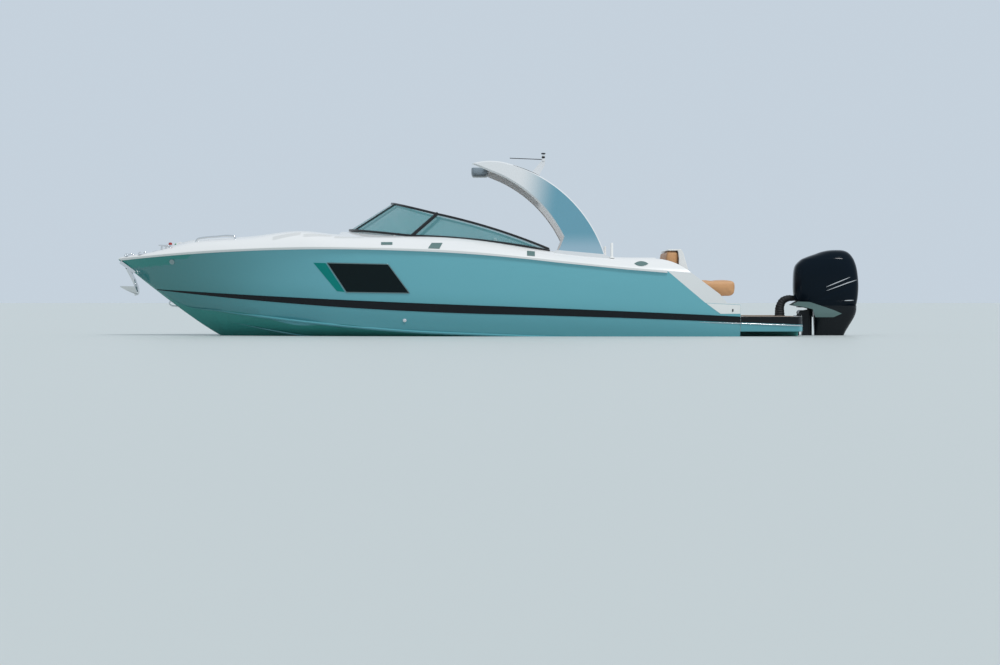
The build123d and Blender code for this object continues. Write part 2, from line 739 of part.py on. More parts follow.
def make_midsection():
    """The leg from the cowl down to the cavitation plate, with the steering tube through the swivel."""
    top = cowl_low_z - seam
    wires = [
        outboard_section(z, front, rear, half, corner)
        for z, front, rear, half, corner in (
            (-470, 4720, 5080, 42, 40), (-200, 4716, 5060, 55, 50), (60, 4712, 5130, 110, 90),
            (200, 4706, 5212, 165, 120), (top, 4704, 5256, 198, 120),
        )
    ]
    leg = Solid.make_loft(wires)
    pan = Solid.extrude(Face(outboard_section(top - pan_deep, 4484, 5260, 203, 119)), Vector(0, 0, pan_deep))
    pan = chamfer(pan.faces().sort_by(Axis.Z)[0].edges(), 8)
    tube = rod((steer_x, 0, -92), (steer_x, 0, top - 20), steer_tube_r)
    yoke = span((4600, -60, -130), (4740, 60, -80))
    plate = plan_prism(
        -482, -468, (4700, -60), (4760, -105, 4900, -120), (5330, -95), (5345, 0, 5330, 95),
        (4900, 120), (4760, 105, 4700, 60),
    )
    leg = leg + pan + tube + yoke + plate
    strut = Solid.make_loft([
        outboard_section(z, front, rear, half, half - 1)
        for z, front, rear, half in (
            (-700, 4760, 5100, 30), (-560, 4740, 5080, 34), (-470, 4720, 5080, 42),
        )
    ])
    body = rod((4760, 0, prop_z), (prop_x - 25 - seam, 0, prop_z), hub_r)
    nose = Solid.make_sphere(hub_r, Plane(origin=(4760, 0, prop_z), z_dir=(1, 0, 0)))
    nose = scale(nose, (1.9, 1, 1)).translate((4760 - 4760 * 1.9, 0, 0))
    skeg = side_prism(-7, 7, (4860, prop_z - 40), (4930, -945), (5060, -945), (5100, prop_z - 40))
    return leg + strut + body + nose + skeg


def make_propeller():
    """A hub on the gearcase's shaft line with its blades pitched about it."""
    hub = rod((prop_x - 25, 0, prop_z), (prop_x + 125, 0, prop_z), hub_r - 2)
    # columns: radius, chord, thickness, angle off the shaft line
    blade_rows = ((hub_r - 12, 120, 12, 34), (110, 165, 9, 51), (160, 150, 6, 61), (prop_r, 70, 4, 65))
    wires = []
    for radius, chord, thick, pitch in blade_rows:
        face = Plane(origin=(prop_x + 50, 0, prop_z + radius), x_dir=(1, 0, 0), z_dir=(0, 0, 1))
        half = chord / 2
        lens = closed_wire(
            lambda x, y: (x, y, 0), (-half, 0), (0, thick / 2, half, 0), (0, -thick / 2, -half, 0)
        )
        wires.append(face * Rot(0, 0, pitch) * lens)
    blade = Solid.make_loft(wires)
    turn = Axis((prop_x, 0, prop_z), (1, 0, 0))
    return hub.fuse(*(blade.rotate(turn, 360 / blade_count * n + 20) for n in range(blade_count)))


def make_powerhead():
    """The motor under the cowl as one block."""
    return span((4560, -150, cowl_low_z), (5130, 150, 960))


def make_side_trim(leg):
    """The pale panel on each side of the cowl's foot, a wedge that thins out aft."""
    outline = (
        (4400, 400), (4475, 446), (4633, 440), (4791, 387), (4949, 334), (5055, 288),
        (4949, 240), (4710, 240), (4672, 345), (4590, 366), (4475, 387),
    )
    # columns: z, front x, rear x, half width, corner radius
    rows = (
        (220, 4640, 5240, 181, 60), (300, 4560, 5265, 204, 60), (cowl_low_z, 4390, 5275, 215, 60),
        (470, 4390, 5285, 236, 60),
    )
    form = Solid.make_loft([outboard_section(*row) for row in rows])
    skin = form & side_prism(-wide, wide, *outline)
    skin = skin - leg - cowl_form(-seam) - span((4300, -176, 0), (4800, 176, 900))
    return skin.solids()


def make_hose():
    """The rigging hose from the platform up into the cowl's front."""
    return pipe(
        ((4270, 0, motor_well_z + seam), (4270, 0, 430), (4434, 0, 440)), 90, 42
    )


if __name__ == "__main__":
    os.makedirs("parts", exist_ok=True)
    form = boat_form()
    write("hull", make_hull(form))
    write("deck", make_deck(form))
    write("rub_rail", make_rub_rail())
    write("boot_stripe", make_boot_stripe())
    write("hull_windows", make_windows())
    write("window_accents", make_window_accents())
    write("side_vents", *make_side_vents())
    write("docking_lights", make_docking_lights())

    legs, roof = make_arch()
    write("arch_legs", *legs)
    write("arch_roof", roof)
    mast, lamp = make_mast_light(roof)
    write("light_mast", mast)
    write("masthead_lamp", lamp)
    write("antenna", make_antenna())

    frame, front_glass, side_glass = make_windscreen()
    write("windscreen_frame", frame)
    write("windscreen_front_glass", *front_glass)
    write("windscreen_side_glass", *both_sides(side_glass))

    write("bow_rails", *make_rails())
    write("cleats", *make_cleats())
    plate, anchor = make_bow_gear()
    write("stem_roller", plate)
    write("anchor", anchor)
    write("bow_eye", make_bow_eye())
    write("anchor_hatch", make_anchor_hatch())
    write("bow_door", make_bow_door())
    pads, rests = make_bow_seats()
    write("bow_seat_pads", *pads)
    write("bow_backrests", *rests)

    helm, companion = make_consoles()
    write("helm_console", helm)
    write("companion_console", companion)
    write("dash_panel", make_dash_panel())
    write("steering_wheel", make_steering_wheel())
    write("throttle", make_throttle())
    posts = []
    for name, hand in (("helm", 1), ("companion", -1)):
        shell, cushions, post = make_seat(hand)
        write(f"{name}_seat_shell", shell)
        write(f"{name}_seat_cushions", *cushions)
        posts.append(post)
    write("seat_pedestals", *posts)
    write("sole_mats", *make_mats())

    base, seats, back, shell, lounge = make_aft_bench()
    write("bench_base", base)
    write("bench_seat_cushions", *seats)
    write("bench_back_cushion", back)
    write("lounge_shell", shell)
    write("lounge_cushion", lounge)
    write("transom_gate", make_transom_gate())
    write("swim_platform", make_platform())

    clamp, swivel = make_brackets()
    leg = make_midsection()
    write("clamp_bracket", clamp)
    write("swivel_bracket", swivel)
    write("outboard_leg", leg)
    write("outboard_cowl", make_cowl())
    write("outboard_side_panels", *make_side_trim(leg))
    write("powerhead", make_powerhead())
    write("propeller", make_propeller())
    write("rigging_hose", make_hose())
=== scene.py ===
import json
import math

import bmesh
import bpy
import numpy as np
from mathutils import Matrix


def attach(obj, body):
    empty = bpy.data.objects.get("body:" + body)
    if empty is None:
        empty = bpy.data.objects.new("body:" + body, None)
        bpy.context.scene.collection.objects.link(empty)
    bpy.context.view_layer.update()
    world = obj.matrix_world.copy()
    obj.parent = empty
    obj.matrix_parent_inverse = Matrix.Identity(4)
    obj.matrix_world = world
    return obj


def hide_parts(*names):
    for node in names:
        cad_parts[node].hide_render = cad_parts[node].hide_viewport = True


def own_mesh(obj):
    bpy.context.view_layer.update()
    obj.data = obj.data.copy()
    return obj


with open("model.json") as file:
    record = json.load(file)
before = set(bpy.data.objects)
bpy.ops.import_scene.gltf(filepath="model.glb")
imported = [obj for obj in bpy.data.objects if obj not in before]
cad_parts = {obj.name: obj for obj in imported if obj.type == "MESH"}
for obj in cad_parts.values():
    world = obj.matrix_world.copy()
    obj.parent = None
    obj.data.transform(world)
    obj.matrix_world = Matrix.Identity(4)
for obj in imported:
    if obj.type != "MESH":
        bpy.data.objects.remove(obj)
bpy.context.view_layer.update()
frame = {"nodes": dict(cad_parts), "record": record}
nodes = frame["nodes"]
slots = {s["node"]: s["material_slot"] for s in frame["record"]["subparts"]}
bodyOf = {n: body for body, members in frame["record"]["behaviour"]["bodies"].items() for n in members}

viewSetup = {
    "place": (0.571, -36.4, 0.466),  # eye half a metre above the water, 36 m to port
    "lens": 99.36,
    "pitchDown": 0.675,  # degrees, puts the horizon a little above the middle
}
studio = {
    "backdrop": (0.56, 0.64, 0.72),
    "floor": (0.57, 0.62, 0.62),
    "skyLight": (0.90, 0.96, 1.0),
    "skyStrength": 0.60,
    "keyStrength": 1.70,
    "keyTurn": (36, 0, 30),  # degrees: from port, a little from astern
    "keyAngle": 14,
    "floorHalf": 400,
}


def newObject(name, data):
    thing = bpy.data.objects.new(name, data)
    bpy.context.collection.objects.link(thing)
    return thing


camera = newObject("viewCamera", bpy.data.cameras.new("viewCamera"))
camera.data.lens = viewSetup["lens"]
camera.data.sensor_width = 36
camera.data.clip_end = 2000
camera.location = viewSetup["place"]
camera.rotation_euler = (math.radians(90 - viewSetup["pitchDown"]), 0, 0)
scene = bpy.context.scene
scene.camera = camera
scene.view_settings.view_transform = "Standard"


def shade(color, share=1.0):
    return (*(c * share for c in color), 1)


def nodeTree(owner):
    owner.use_nodes = True
    owner.node_tree.nodes.clear()
    return owner.node_tree


def addNode(tree, kind, values=None, **settings):
    # one shader node with its settings, its socket values and its links
    node = tree.nodes.new(kind)
    for key, value in settings.items():
        setattr(node, key, value)
    for key, value in (values or {}).items():
        if isinstance(value, bpy.types.NodeSocket):
            tree.links.new(value, node.inputs[key])
        else:
            node.inputs[key].default_value = value
    return node


def mathNode(tree, operation, *values):
    return addNode(tree, "ShaderNodeMath", dict(enumerate(values)), operation=operation).outputs[0]


def mixColor(tree, factor, first, second):
    return addNode(tree, "ShaderNodeMix", {0: factor, 6: first, 7: second}, data_type="RGBA").outputs[2]


def objectPlace(tree):
    return addNode(tree, "ShaderNodeTexCoord").outputs["Object"]


def seenDirectly(tree):
    # 1 for rays that show the backdrop: from the camera, off gloss and through glass
    path = addNode(tree, "ShaderNodeLightPath").outputs
    some = mathNode(tree, "MAXIMUM", path["Is Camera Ray"], path["Is Glossy Ray"])
    return mathNode(tree, "MAXIMUM", some, path["Is Transmission Ray"])


def makeStudio(look):
    world = bpy.data.worlds.new("studio")
    scene.world = world
    tree = nodeTree(world)
    lit = addNode(tree, "ShaderNodeBackground", {"Color": shade(look["skyLight"]), "Strength": look["skyStrength"]})
    shown = addNode(tree, "ShaderNodeBackground", {"Color": shade(look["backdrop"]), "Strength": 1.0})
    mix = addNode(tree, "ShaderNodeMixShader", {0: seenDirectly(tree), 1: lit.outputs[0], 2: shown.outputs[0]})
    addNode(tree, "ShaderNodeOutputWorld", {"Surface": mix.outputs[0]})
    lamp = newObject("keyLamp", bpy.data.lights.new("keyLamp", "SUN"))
    lamp.data.energy = look["keyStrength"]
    lamp.data.angle = math.radians(look["keyAngle"])
    lamp.rotation_euler = [math.radians(a) for a in look["keyTurn"]]
    half = look["floorHalf"]
    mesh = bpy.data.meshes.new("floor")
    mesh.from_pydata([(-half, -half, 0), (half, -half, 0), (half, half, 0), (-half, half, 0)], [], [(0, 1, 2, 3)])
    paint = bpy.data.materials.new("floorPaint")
    tree = nodeTree(paint)
    ground = addNode(tree, "ShaderNodeBsdfPrincipled", {"Base Color": shade(look["floor"]), "Roughness": 0.45})
    addNode(tree, "ShaderNodeOutputMaterial", {"Surface": ground.outputs[0]})
    mesh.materials.append(paint)
    floor = newObject("floor", mesh)


makeStudio(studio)
print("studio: floor at the waterline, one soft key lamp")


def startGroup(name, inputs, outputs):
    # an empty node group with named sockets, each a Color, Float or Vector
    group = bpy.data.node_groups.new(name, "ShaderNodeTree")
    for label, kind, value in inputs:
        socket = group.interface.new_socket(label, in_out="INPUT", socket_type="NodeSocket" + kind)
        socket.default_value = value
    for label, kind in outputs:
        group.interface.new_socket(label, in_out="OUTPUT", socket_type="NodeSocket" + kind)
    return group, group.nodes.new("NodeGroupInput").outputs


def endGroup(group, results):
    leave = group.nodes.new("NodeGroupOutput").inputs
    for label, value in results.items():
        group.links.new(value, leave[label])
    return group


def makeToneGroup():
    # colour = base + amount * (tint - base) * cloudy noise; roughness = mean + spread * (noise - 0.5)
    group, entry = startGroup(
        "surfaceTone",
        [("Base", "Color", (0.8, 0.8, 0.8, 1)), ("Tint", "Color", (0.5, 0.5, 0.5, 1)), ("Scale", "Float", 3.0),
         ("Amount", "Float", 0.3), ("Roughness", "Float", 0.3), ("Spread", "Float", 0.1), ("Grain Scale", "Float", 400.0)],
        [("Color", "Color"), ("Roughness", "Float"), ("Height", "Float")],
    )
    place = objectPlace(group)
    cloud = addNode(group, "ShaderNodeTexNoise", {"Vector": place, "Scale": entry["Scale"], "Detail": 5.0}).outputs["Fac"]
    grain = addNode(group, "ShaderNodeTexNoise", {"Vector": place, "Scale": entry["Grain Scale"], "Detail": 2.0})
    share = mathNode(group, "MULTIPLY", cloud, entry["Amount"])
    spread = mathNode(group, "MULTIPLY", mathNode(group, "SUBTRACT", cloud, 0.5), entry["Spread"])
    return endGroup(group, {
        "Color": mixColor(group, share, entry["Base"], entry["Tint"]),
        "Roughness": mathNode(group, "ADD", entry["Roughness"], spread),
        "Height": grain.outputs["Fac"],
    })


def makeHideGroup():
    # pebbled hide: ridges between cells of a Voronoi net, softened by fine noise
    group, entry = startGroup("hideGrain", [("Scale", "Float", 300.0)], [("Height", "Float"), ("Mask", "Float")])
    place = objectPlace(group)
    cells = addNode(group, "ShaderNodeTexVoronoi", {"Vector": place, "Scale": entry["Scale"]}, feature="DISTANCE_TO_EDGE")
    ridge = addNode(group, "ShaderNodeMapRange", {"Value": cells.outputs["Distance"], "From Max": 0.25}).outputs[0]
    fine = addNode(group, "ShaderNodeTexNoise", {"Vector": place, "Scale": 900.0, "Detail": 2.0})
    return endGroup(group, {"Height": mathNode(group, "MULTIPLY_ADD", fine.outputs["Fac"], 0.25, ridge), "Mask": ridge})


def makeTreadGroup():
    # diamond non-skid: product of two crossed sine waves in the deck's plane
    group, entry = startGroup("deckTread", [("Scale", "Float", 120.0)], [("Height", "Float")])
    place = objectPlace(group)
    first, second = (
        addNode(group, "ShaderNodeTexWave", {"Vector": place, "Scale": entry["Scale"]}, bands_direction=way).outputs["Fac"]
        for way in "XY")
    return endGroup(group, {"Height": mathNode(group, "MULTIPLY", first, second)})


def makeFadeGroup():
    # second colour fades in along a direction: share = (place . Along - Start) / (End - Start), eased
    group, entry = startGroup(
        "fadeAlong",
        [("First", "Color", (0.8, 0.8, 0.8, 1)), ("Second", "Color", (0.5, 0.5, 0.5, 1)), ("Along", "Vector", (1, 0, 0)),
         ("Start", "Float", 0.0), ("End", "Float", 1.0), ("Most", "Float", 1.0)],
        [("Color", "Color")],
    )
    reach = addNode(group, "ShaderNodeVectorMath", {0: objectPlace(group), 1: entry["Along"]}, operation="DOT_PRODUCT")
    share = addNode(group, "ShaderNodeMapRange", {
        "Value": reach.outputs["Value"], "From Min": entry["Start"], "From Max": entry["End"], "To Max": entry["Most"],
    }, interpolation_type="SMOOTHSTEP")
    return endGroup(group, {"Color": mixColor(group, share.outputs[0], entry["First"], entry["Second"])})


toneGroup = makeToneGroup()
hideGroup = makeHideGroup()
treadGroup = makeTreadGroup()
fadeGroup = makeFadeGroup()
materials = {}


def makeMaterial(name, look):
    # principled surface fed by the tone group; look says colour, gloss, metal, coat, alpha and bump
    material = bpy.data.materials.new(name)
    tree = nodeTree(material)
    base = look["color"]
    tone = addNode(tree, "ShaderNodeGroup", {
        "Base": shade(base), "Tint": shade(look["tint"]) if "tint" in look else shade(base, 0.82),
        "Scale": look.get("scale", 2.5), "Amount": look.get("amount", 0.25), "Roughness": look.get("rough", 0.3),
        "Spread": look.get("spread", 0.12), "Grain Scale": look.get("grain", 400.0),
    }, node_tree=toneGroup).outputs
    color, height = tone["Color"], tone["Height"]
    pattern = look.get("pattern")
    if pattern == "hide":
        hide = addNode(tree, "ShaderNodeGroup", {"Scale": look.get("patternScale", 320.0)}, node_tree=hideGroup).outputs
        height = hide["Height"]
        color = mixColor(tree, hide["Mask"], shade(base, 0.7), color)
    elif pattern == "tread":
        height = addNode(tree, "ShaderNodeGroup", {"Scale": look["patternScale"]}, node_tree=treadGroup).outputs["Height"]
    for second, along, start, end, most in look.get("fades", ()):
        color = addNode(tree, "ShaderNodeGroup", {
            "First": color, "Second": shade(second), "Along": along, "Start": start, "End": end, "Most": most,
        }, node_tree=fadeGroup).outputs["Color"]
    bump = addNode(tree, "ShaderNodeBump", {
        "Height": height, "Strength": look.get("bump", 0.05), "Distance": look.get("bumpDepth", 0.001)})
    surface = addNode(tree, "ShaderNodeBsdfPrincipled", {
        "Base Color": color, "Roughness": tone["Roughness"], "Metallic": look.get("metal", 0.0),
        "Normal": bump.outputs[0], "Coat Weight": look.get("coat", 0.0), "Coat Roughness": 0.06,
        "Specular IOR Level": look.get("gloss", 0.5),
    })
    if "sheen" in look:
        surface.inputs["Sheen Weight"].default_value = look["sheen"]
    addNode(tree, "ShaderNodeOutputMaterial", {"Surface": surface.outputs[0]})
    materials[name] = material


def makeGlass(name, color, alpha):
    # thin tinted pane: mostly see-through, with a clear gloss
    material = bpy.data.materials.new(name)
    tree = nodeTree(material)
    tone = addNode(tree, "ShaderNodeGroup", {
        "Base": shade(color), "Tint": shade(color, 0.8), "Amount": 0.3, "Roughness": 0.03, "Spread": 0.02,
    }, node_tree=toneGroup).outputs
    surface = addNode(tree, "ShaderNodeBsdfPrincipled", {
        "Base Color": tone["Color"], "Roughness": tone["Roughness"], "Alpha": alpha, "IOR": 1.45,
    })
    addNode(tree, "ShaderNodeOutputMaterial", {"Surface": surface.outputs[0]})
    materials[name] = material


moulded = dict(grain=18.0, bump=0.012)  # the slow waviness of moulded gelcoat
finishes = {
    # fades: second colour, direction, where it starts, where it is full, how much of it
    # gelcoat: painted shade and painted water reflection on a white hull: teal topsides, a darker fade lower down
    # (painted shade) and a darker green-teal fade to the bow (painted reflection)
    "gelcoat": dict(
        color=(0.150, 0.455, 0.530), tint=(0.120, 0.400, 0.470), scale=0.5, amount=0.5, rough=0.14, coat=0.35, gloss=0.4,
        fades=[((0.075, 0.285, 0.330), (-0.06, 0, -1), -0.62, -0.12, 0.8),
               ((0.040, 0.190, 0.190), (-1, 0, 0), 1.6, 4.2, 0.9)],
        **moulded),
    # painted shade: the dark green of the hull's underside and of the platform's underside
    "bottom_paint": dict(
        color=(0.045, 0.290, 0.265), tint=(0.030, 0.190, 0.180), scale=1.5, amount=0.6, rough=0.35, gloss=0.3),
    "hull_white": dict(
        color=(0.86, 0.865, 0.86), tint=(0.80, 0.81, 0.81), scale=1.2, amount=0.3, rough=0.2, coat=0.3, **moulded),
    # painted shade and water reflection on the legs' outer sides: white towards the front and top, a paler blue low
    # down
    "arch_side": dict(
        color=(0.135, 0.340, 0.440), tint=(0.110, 0.290, 0.380), scale=0.6, amount=0.5, rough=0.16, coat=0.35,
        fades=[((0.74, 0.76, 0.78), (-1, 0, 0.15), -1.05, -0.50, 1.0),
               ((0.36, 0.50, 0.60), (0, 0, -1), -1.35, -1.10, 0.7)],
        **moulded),
    "deck_gelcoat": dict(
        color=(0.80, 0.81, 0.815), tint=(0.72, 0.74, 0.755), scale=1.2, amount=0.35, rough=0.22, coat=0.3, **moulded),
    "non_skid": dict(
        color=(0.66, 0.675, 0.68), tint=(0.58, 0.60, 0.61), scale=2.0, amount=0.4, rough=0.6,
        pattern="tread", patternScale=22.0, bump=0.35, bumpDepth=0.0015),
    "arch_gelcoat": dict(
        color=(0.74, 0.76, 0.78), tint=(0.64, 0.68, 0.72), scale=1.0, amount=0.35, rough=0.2, coat=0.4, **moulded),
    "rub_rail": dict(color=(0.78, 0.79, 0.79), rough=0.36),
    "stripe": dict(color=(0.006, 0.008, 0.011), tint=(0.010, 0.014, 0.018), rough=0.16, gloss=0.22, bump=0.01),
    "dark_glass": dict(color=(0.002, 0.008, 0.010), tint=(0.004, 0.014, 0.016), rough=0.05, gloss=0.14, bump=0.0),
    "accent": dict(color=(0.003, 0.235, 0.212), tint=(0.003, 0.200, 0.182), gloss=0.12),
    "grey_plastic": dict(
        color=(0.105, 0.185, 0.180), tint=(0.08, 0.15, 0.15), rough=0.34, coat=0.2, grain=700.0, bump=0.06),
    "black_plastic": dict(
        color=(0.014, 0.016, 0.018), tint=(0.024, 0.026, 0.028), rough=0.42, gloss=0.35, grain=900.0, bump=0.12),
    "black_frame": dict(color=(0.012, 0.014, 0.016), tint=(0.022, 0.024, 0.027), gloss=0.35, bump=0.03),
    "stainless": dict(
        color=(0.74, 0.75, 0.76), tint=(0.58, 0.6, 0.62), rough=0.14, spread=0.15, metal=1.0, grain=60.0, bump=0.02),
    "aluminium": dict(color=(0.62, 0.63, 0.64), rough=0.34, metal=1.0, grain=90.0, bump=0.04),
    "upholstery": dict(
        color=(0.70, 0.375, 0.170), tint=(0.60, 0.30, 0.125), scale=6.0, amount=0.5, rough=0.46,
        pattern="hide", bump=0.25, sheen=0.15),
    "piping": dict(color=(0.60, 0.33, 0.16), rough=0.5, pattern="hide", bump=0.1),
    "seat_shell": dict(color=(0.76, 0.765, 0.76), tint=(0.68, 0.69, 0.69), rough=0.26, coat=0.3, **moulded),
    "mat": dict(
        color=(0.20, 0.13, 0.075), tint=(0.12, 0.085, 0.055), scale=4.0, amount=0.5, rough=0.8,
        pattern="tread", patternScale=14.0, bump=0.5, bumpDepth=0.002),
    "wheel_wrap": dict(
        color=(0.020, 0.020, 0.021), tint=(0.035, 0.035, 0.036), rough=0.5, gloss=0.35,
        pattern="hide", patternScale=600.0, bump=0.2),
    "black_metal": dict(color=(0.006, 0.009, 0.012), tint=(0.012, 0.016, 0.020), rough=0.26, gloss=0.2, bump=0.03),
    "cowl_black": dict(
        color=(0.002, 0.006, 0.011), tint=(0.004, 0.010, 0.018), scale=1.5, amount=0.8, rough=0.1, gloss=0.09, bump=0.0),
    "slash_silver": dict(color=(0.62, 0.64, 0.66), rough=0.25, metal=0.6, bump=0.02),
    "rim_metal": dict(color=(0.16, 0.24, 0.25), metal=0.6, bump=0.01),
    "hose_rubber": dict(color=(0.010, 0.011, 0.012), tint=(0.02, 0.02, 0.02), rough=0.6, gloss=0.3, grain=500.0, bump=0.2),
    "lamp_glass": dict(color=(0.80, 0.84, 0.86), tint=(0.6, 0.66, 0.7), scale=30.0, rough=0.08, coat=0.8, bump=0.0),
    "lamp_red": dict(color=(0.35, 0.02, 0.015), rough=0.1, coat=0.8, bump=0.0),
    "lamp_green": dict(color=(0.015, 0.25, 0.08), rough=0.1, coat=0.8, bump=0.0),
    "lens_grey": dict(color=(0.22, 0.33, 0.34), tint=(0.10, 0.18, 0.19), scale=30.0, rough=0.06, coat=0.6, bump=0.0),
    "screen_face": dict(color=(0.006, 0.008, 0.010), tint=(0.012, 0.016, 0.02), rough=0.08, gloss=0.4, bump=0.0),
    "seam_grey": dict(color=(0.10, 0.12, 0.125), rough=0.4, bump=0.02),
    # painted shade: the blue-grey of the roof's shaded underside
    "pod_grey": dict(color=(0.24, 0.30, 0.35), tint=(0.20, 0.26, 0.30), rough=0.35, coat=0.2, bump=0.02),
}
for name, look in finishes.items():
    makeMaterial(name, look)
makeGlass("screen_glass", (0.16, 0.42, 0.46), 0.42)
print("materials:", len(materials))

for name, node in nodes.items():
    node.data.materials.clear()
    node.data.materials.append(materials[slots[name]])
print("nodes painted")


def smoothPath(points, count):
    # cubic Hermite run through the points, slopes from neighbours, even steps of chord length
    run = np.array(points, float)
    reach = np.r_[0, np.cumsum(np.linalg.norm(np.diff(run, axis=0), axis=1))]
    slope = np.gradient(run, reach, axis=0)
    at = np.linspace(0, reach[-1], count)
    k = np.clip(np.searchsorted(reach, at, side="right") - 1, 0, len(reach) - 2)
    step = (reach[k + 1] - reach[k])[:, None]
    u = (at - reach[k])[:, None] / step
    return (
        (2 * u**3 - 3 * u**2 + 1) * run[k] + (u**3 - 2 * u**2 + u) * step * slope[k]
        + (3 * u**2 - 2 * u**3) * run[k + 1] + (u**3 - u**2) * step * slope[k + 1]
    )


def arcThrough(start, middle, end, count):
    # points at even angles on the circle through three points, in the plane of the three
    a, b, c = (np.array(p, float) for p in (start, middle, end))
    normal = np.cross(b - a, c - a)
    normal /= np.linalg.norm(normal)
    rows = np.array([b - a, c - a, normal])
    centre = np.linalg.solve(rows, [np.dot(b - a, (a + b) / 2), np.dot(c - a, (a + c) / 2), np.dot(normal, a)])
    across = a - centre
    along = np.cross(normal, across)
    turn = math.atan2(np.dot(c - centre, along), np.dot(c - centre, across)) % (2 * math.pi)
    t = np.linspace(0, turn, count)[:, None]
    return centre + np.cos(t) * across + np.sin(t) * along


def unit(vectors):
    return vectors / np.linalg.norm(vectors, axis=-1, keepdims=True)


def ovalProfile(wide, high, count=24, power=2.0):
    # superellipse |x/w|^p + |y/h|^p = 1 at even angles
    t = np.linspace(0, 2 * math.pi, count, endpoint=False)
    c, s = np.cos(t), np.sin(t)
    grow = (np.abs(c) ** power + np.abs(s) ** power) ** (-1 / power)
    return np.stack([wide * c * grow, high * s * grow], 1)


def carryProfile(path, profile, up=(0, 0, 1), closed=False, size=None):
    # every path point gets the profile in the plane square to the path: point + x*side + y*upward
    path = np.asarray(path, float)
    ahead = np.roll(path, -1, 0) - np.roll(path, 1, 0) if closed else np.gradient(path, axis=0)
    ahead = unit(ahead)
    side = unit(np.cross(ahead, np.broadcast_to(np.array(up, float), path.shape)))
    upward = np.cross(side, ahead)
    scale = np.ones(len(path)) if size is None else np.asarray(size, float)
    shape = profile[None] * scale[:, None, None]
    return path[:, None] + shape[..., :1] * side[:, None] + shape[..., 1:] * upward[:, None]


def gridFaces(rows, columns, closeRows, closeColumns):
    # four corners of each cell of a grid, joined end to end where it closes
    i = np.arange(rows if closeRows else rows - 1)[:, None]
    j = np.arange(columns if closeColumns else columns - 1)[None]
    k, m = (i + 1) % rows, (j + 1) % columns
    corners = i * columns + j, k * columns + j, k * columns + m, i * columns + m
    return np.stack(np.broadcast_arrays(*corners), -1).reshape(-1, 4)


def withPoles(grid):
    # the first and last rows are drawn in to their own middles, so the ends close
    first, last = (np.broadcast_to(row.mean(0), (1, *row.shape)) for row in (grid[0], grid[-1]))
    return np.concatenate([first, grid, last])


def putMesh(name, parts, sharpAngle=40):
    # one mesh from (points, faces) parts; doubles merged, normals outwards, sharp edges marked
    points, faces, start = [], [], 0
    for grid, quads in parts:
        flat = grid.reshape(-1, 3)
        points.append(flat)
        faces.append(quads + start)
        start += len(flat)
    mesh = bpy.data.meshes.new(name)
    mesh.from_pydata(np.vstack(points).tolist(), [], np.vstack(faces).tolist())
    build = bmesh.new()
    build.from_mesh(mesh)
    bmesh.ops.remove_doubles(build, verts=build.verts, dist=1e-5)
    bmesh.ops.dissolve_degenerate(build, edges=build.edges, dist=1e-6)
    bmesh.ops.recalc_face_normals(build, faces=build.faces)
    return smoothInto(build, newObject(name, mesh), sharpAngle)


def smoothInto(build, piece, sharpAngle):
    # smooth faces, edges crisp where they turn more than the angle
    for edge in build.edges:
        edge.smooth = edge.calc_face_angle(math.pi) < math.radians(sharpAngle)
    for face in build.faces:
        face.smooth = True
    build.to_mesh(piece.data)
    build.free()
    return piece


def tube(path, profile, up=(0, 0, 1), closed=False, size=None):
    # the carried profile as a surface, closed to a ring or drawn in at both ends
    grid = carryProfile(path, profile, up, closed, size)
    if not closed:
        grid = withPoles(grid)
    return grid, gridFaces(len(grid), len(profile), closed, True)


def bar(points, radius, count=60, up=(0, 1, 0.3), sides=16):
    # a round rod on a smooth run through the points
    return tube(smoothPath(points, count), ovalProfile(radius, radius, sides), up)


def ringed(grid):
    # rings of points, drawn in to a pole at each end
    return withPoles(grid), gridFaces(len(grid) + 2, grid.shape[1], False, True)


astern, starboard, skyward = (1, 0, 0), (0, 1, 0), (0, 0, 1)


def stack(origin, across, upward, half, rows, power=2.0, count=32):
    # superellipse rings |u/a|^p + |v/b|^p = 1 in a plane, each row a share of the half sizes and a height off the plane
    u, v = unit(np.array(across, float)), unit(np.array(upward, float))
    out = np.cross(u, v)
    outline = ovalProfile(half[0], half[1], count, power)
    rows = np.array(rows, float)
    ring = outline[:, :1] * u + outline[:, 1:] * v
    return ringed(np.array(origin, float) + rows[:, :1, None] * ring[None] + rows[:, 1:, None] * out)


def disc(place, radius, rows, count=32):
    # a round stack that lies level
    return stack(place, astern, starboard, (radius, radius), rows, 2.0, count)


def closedSheet(outer, inner):
    # two grids of the same shape and the wall between their rims
    edge = np.stack([np.concatenate([g[0], g[1:, -1], g[-1, -2::-1], g[-2:0:-1, 0]]) for g in (outer, inner)])
    faces = gridFaces(*outer.shape[:2], False, False)
    return [(outer, faces), (inner, faces[:, ::-1]), (edge, gridFaces(2, edge.shape[1], False, True))]


def mirrored(parts):
    # the same surfaces on the other side of the centreline
    return parts + [(grid * np.array([1, -1, 1]), quads[:, ::-1]) for grid, quads in parts]


def finish(piece, slot, replaced=(), material=None, body="boat"):
    piece.data.materials.clear()
    piece.data.materials.append(materials[material or slot])
    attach(piece, body)
    if replaced:
        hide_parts(*replaced)
    return piece


def addPiece(name, parts, slot, replaced=(), material=None, body="boat", sharpAngle=40):
    return finish(putMesh(name, parts, sharpAngle), slot, replaced, material, body)


def coordsOf(piece, mesh=None):
    mesh = mesh or piece.data
    out = np.empty(len(mesh.vertices) * 3, np.float32)
    mesh.vertices.foreach_get("co", out)
    return out.reshape(-1, 3)


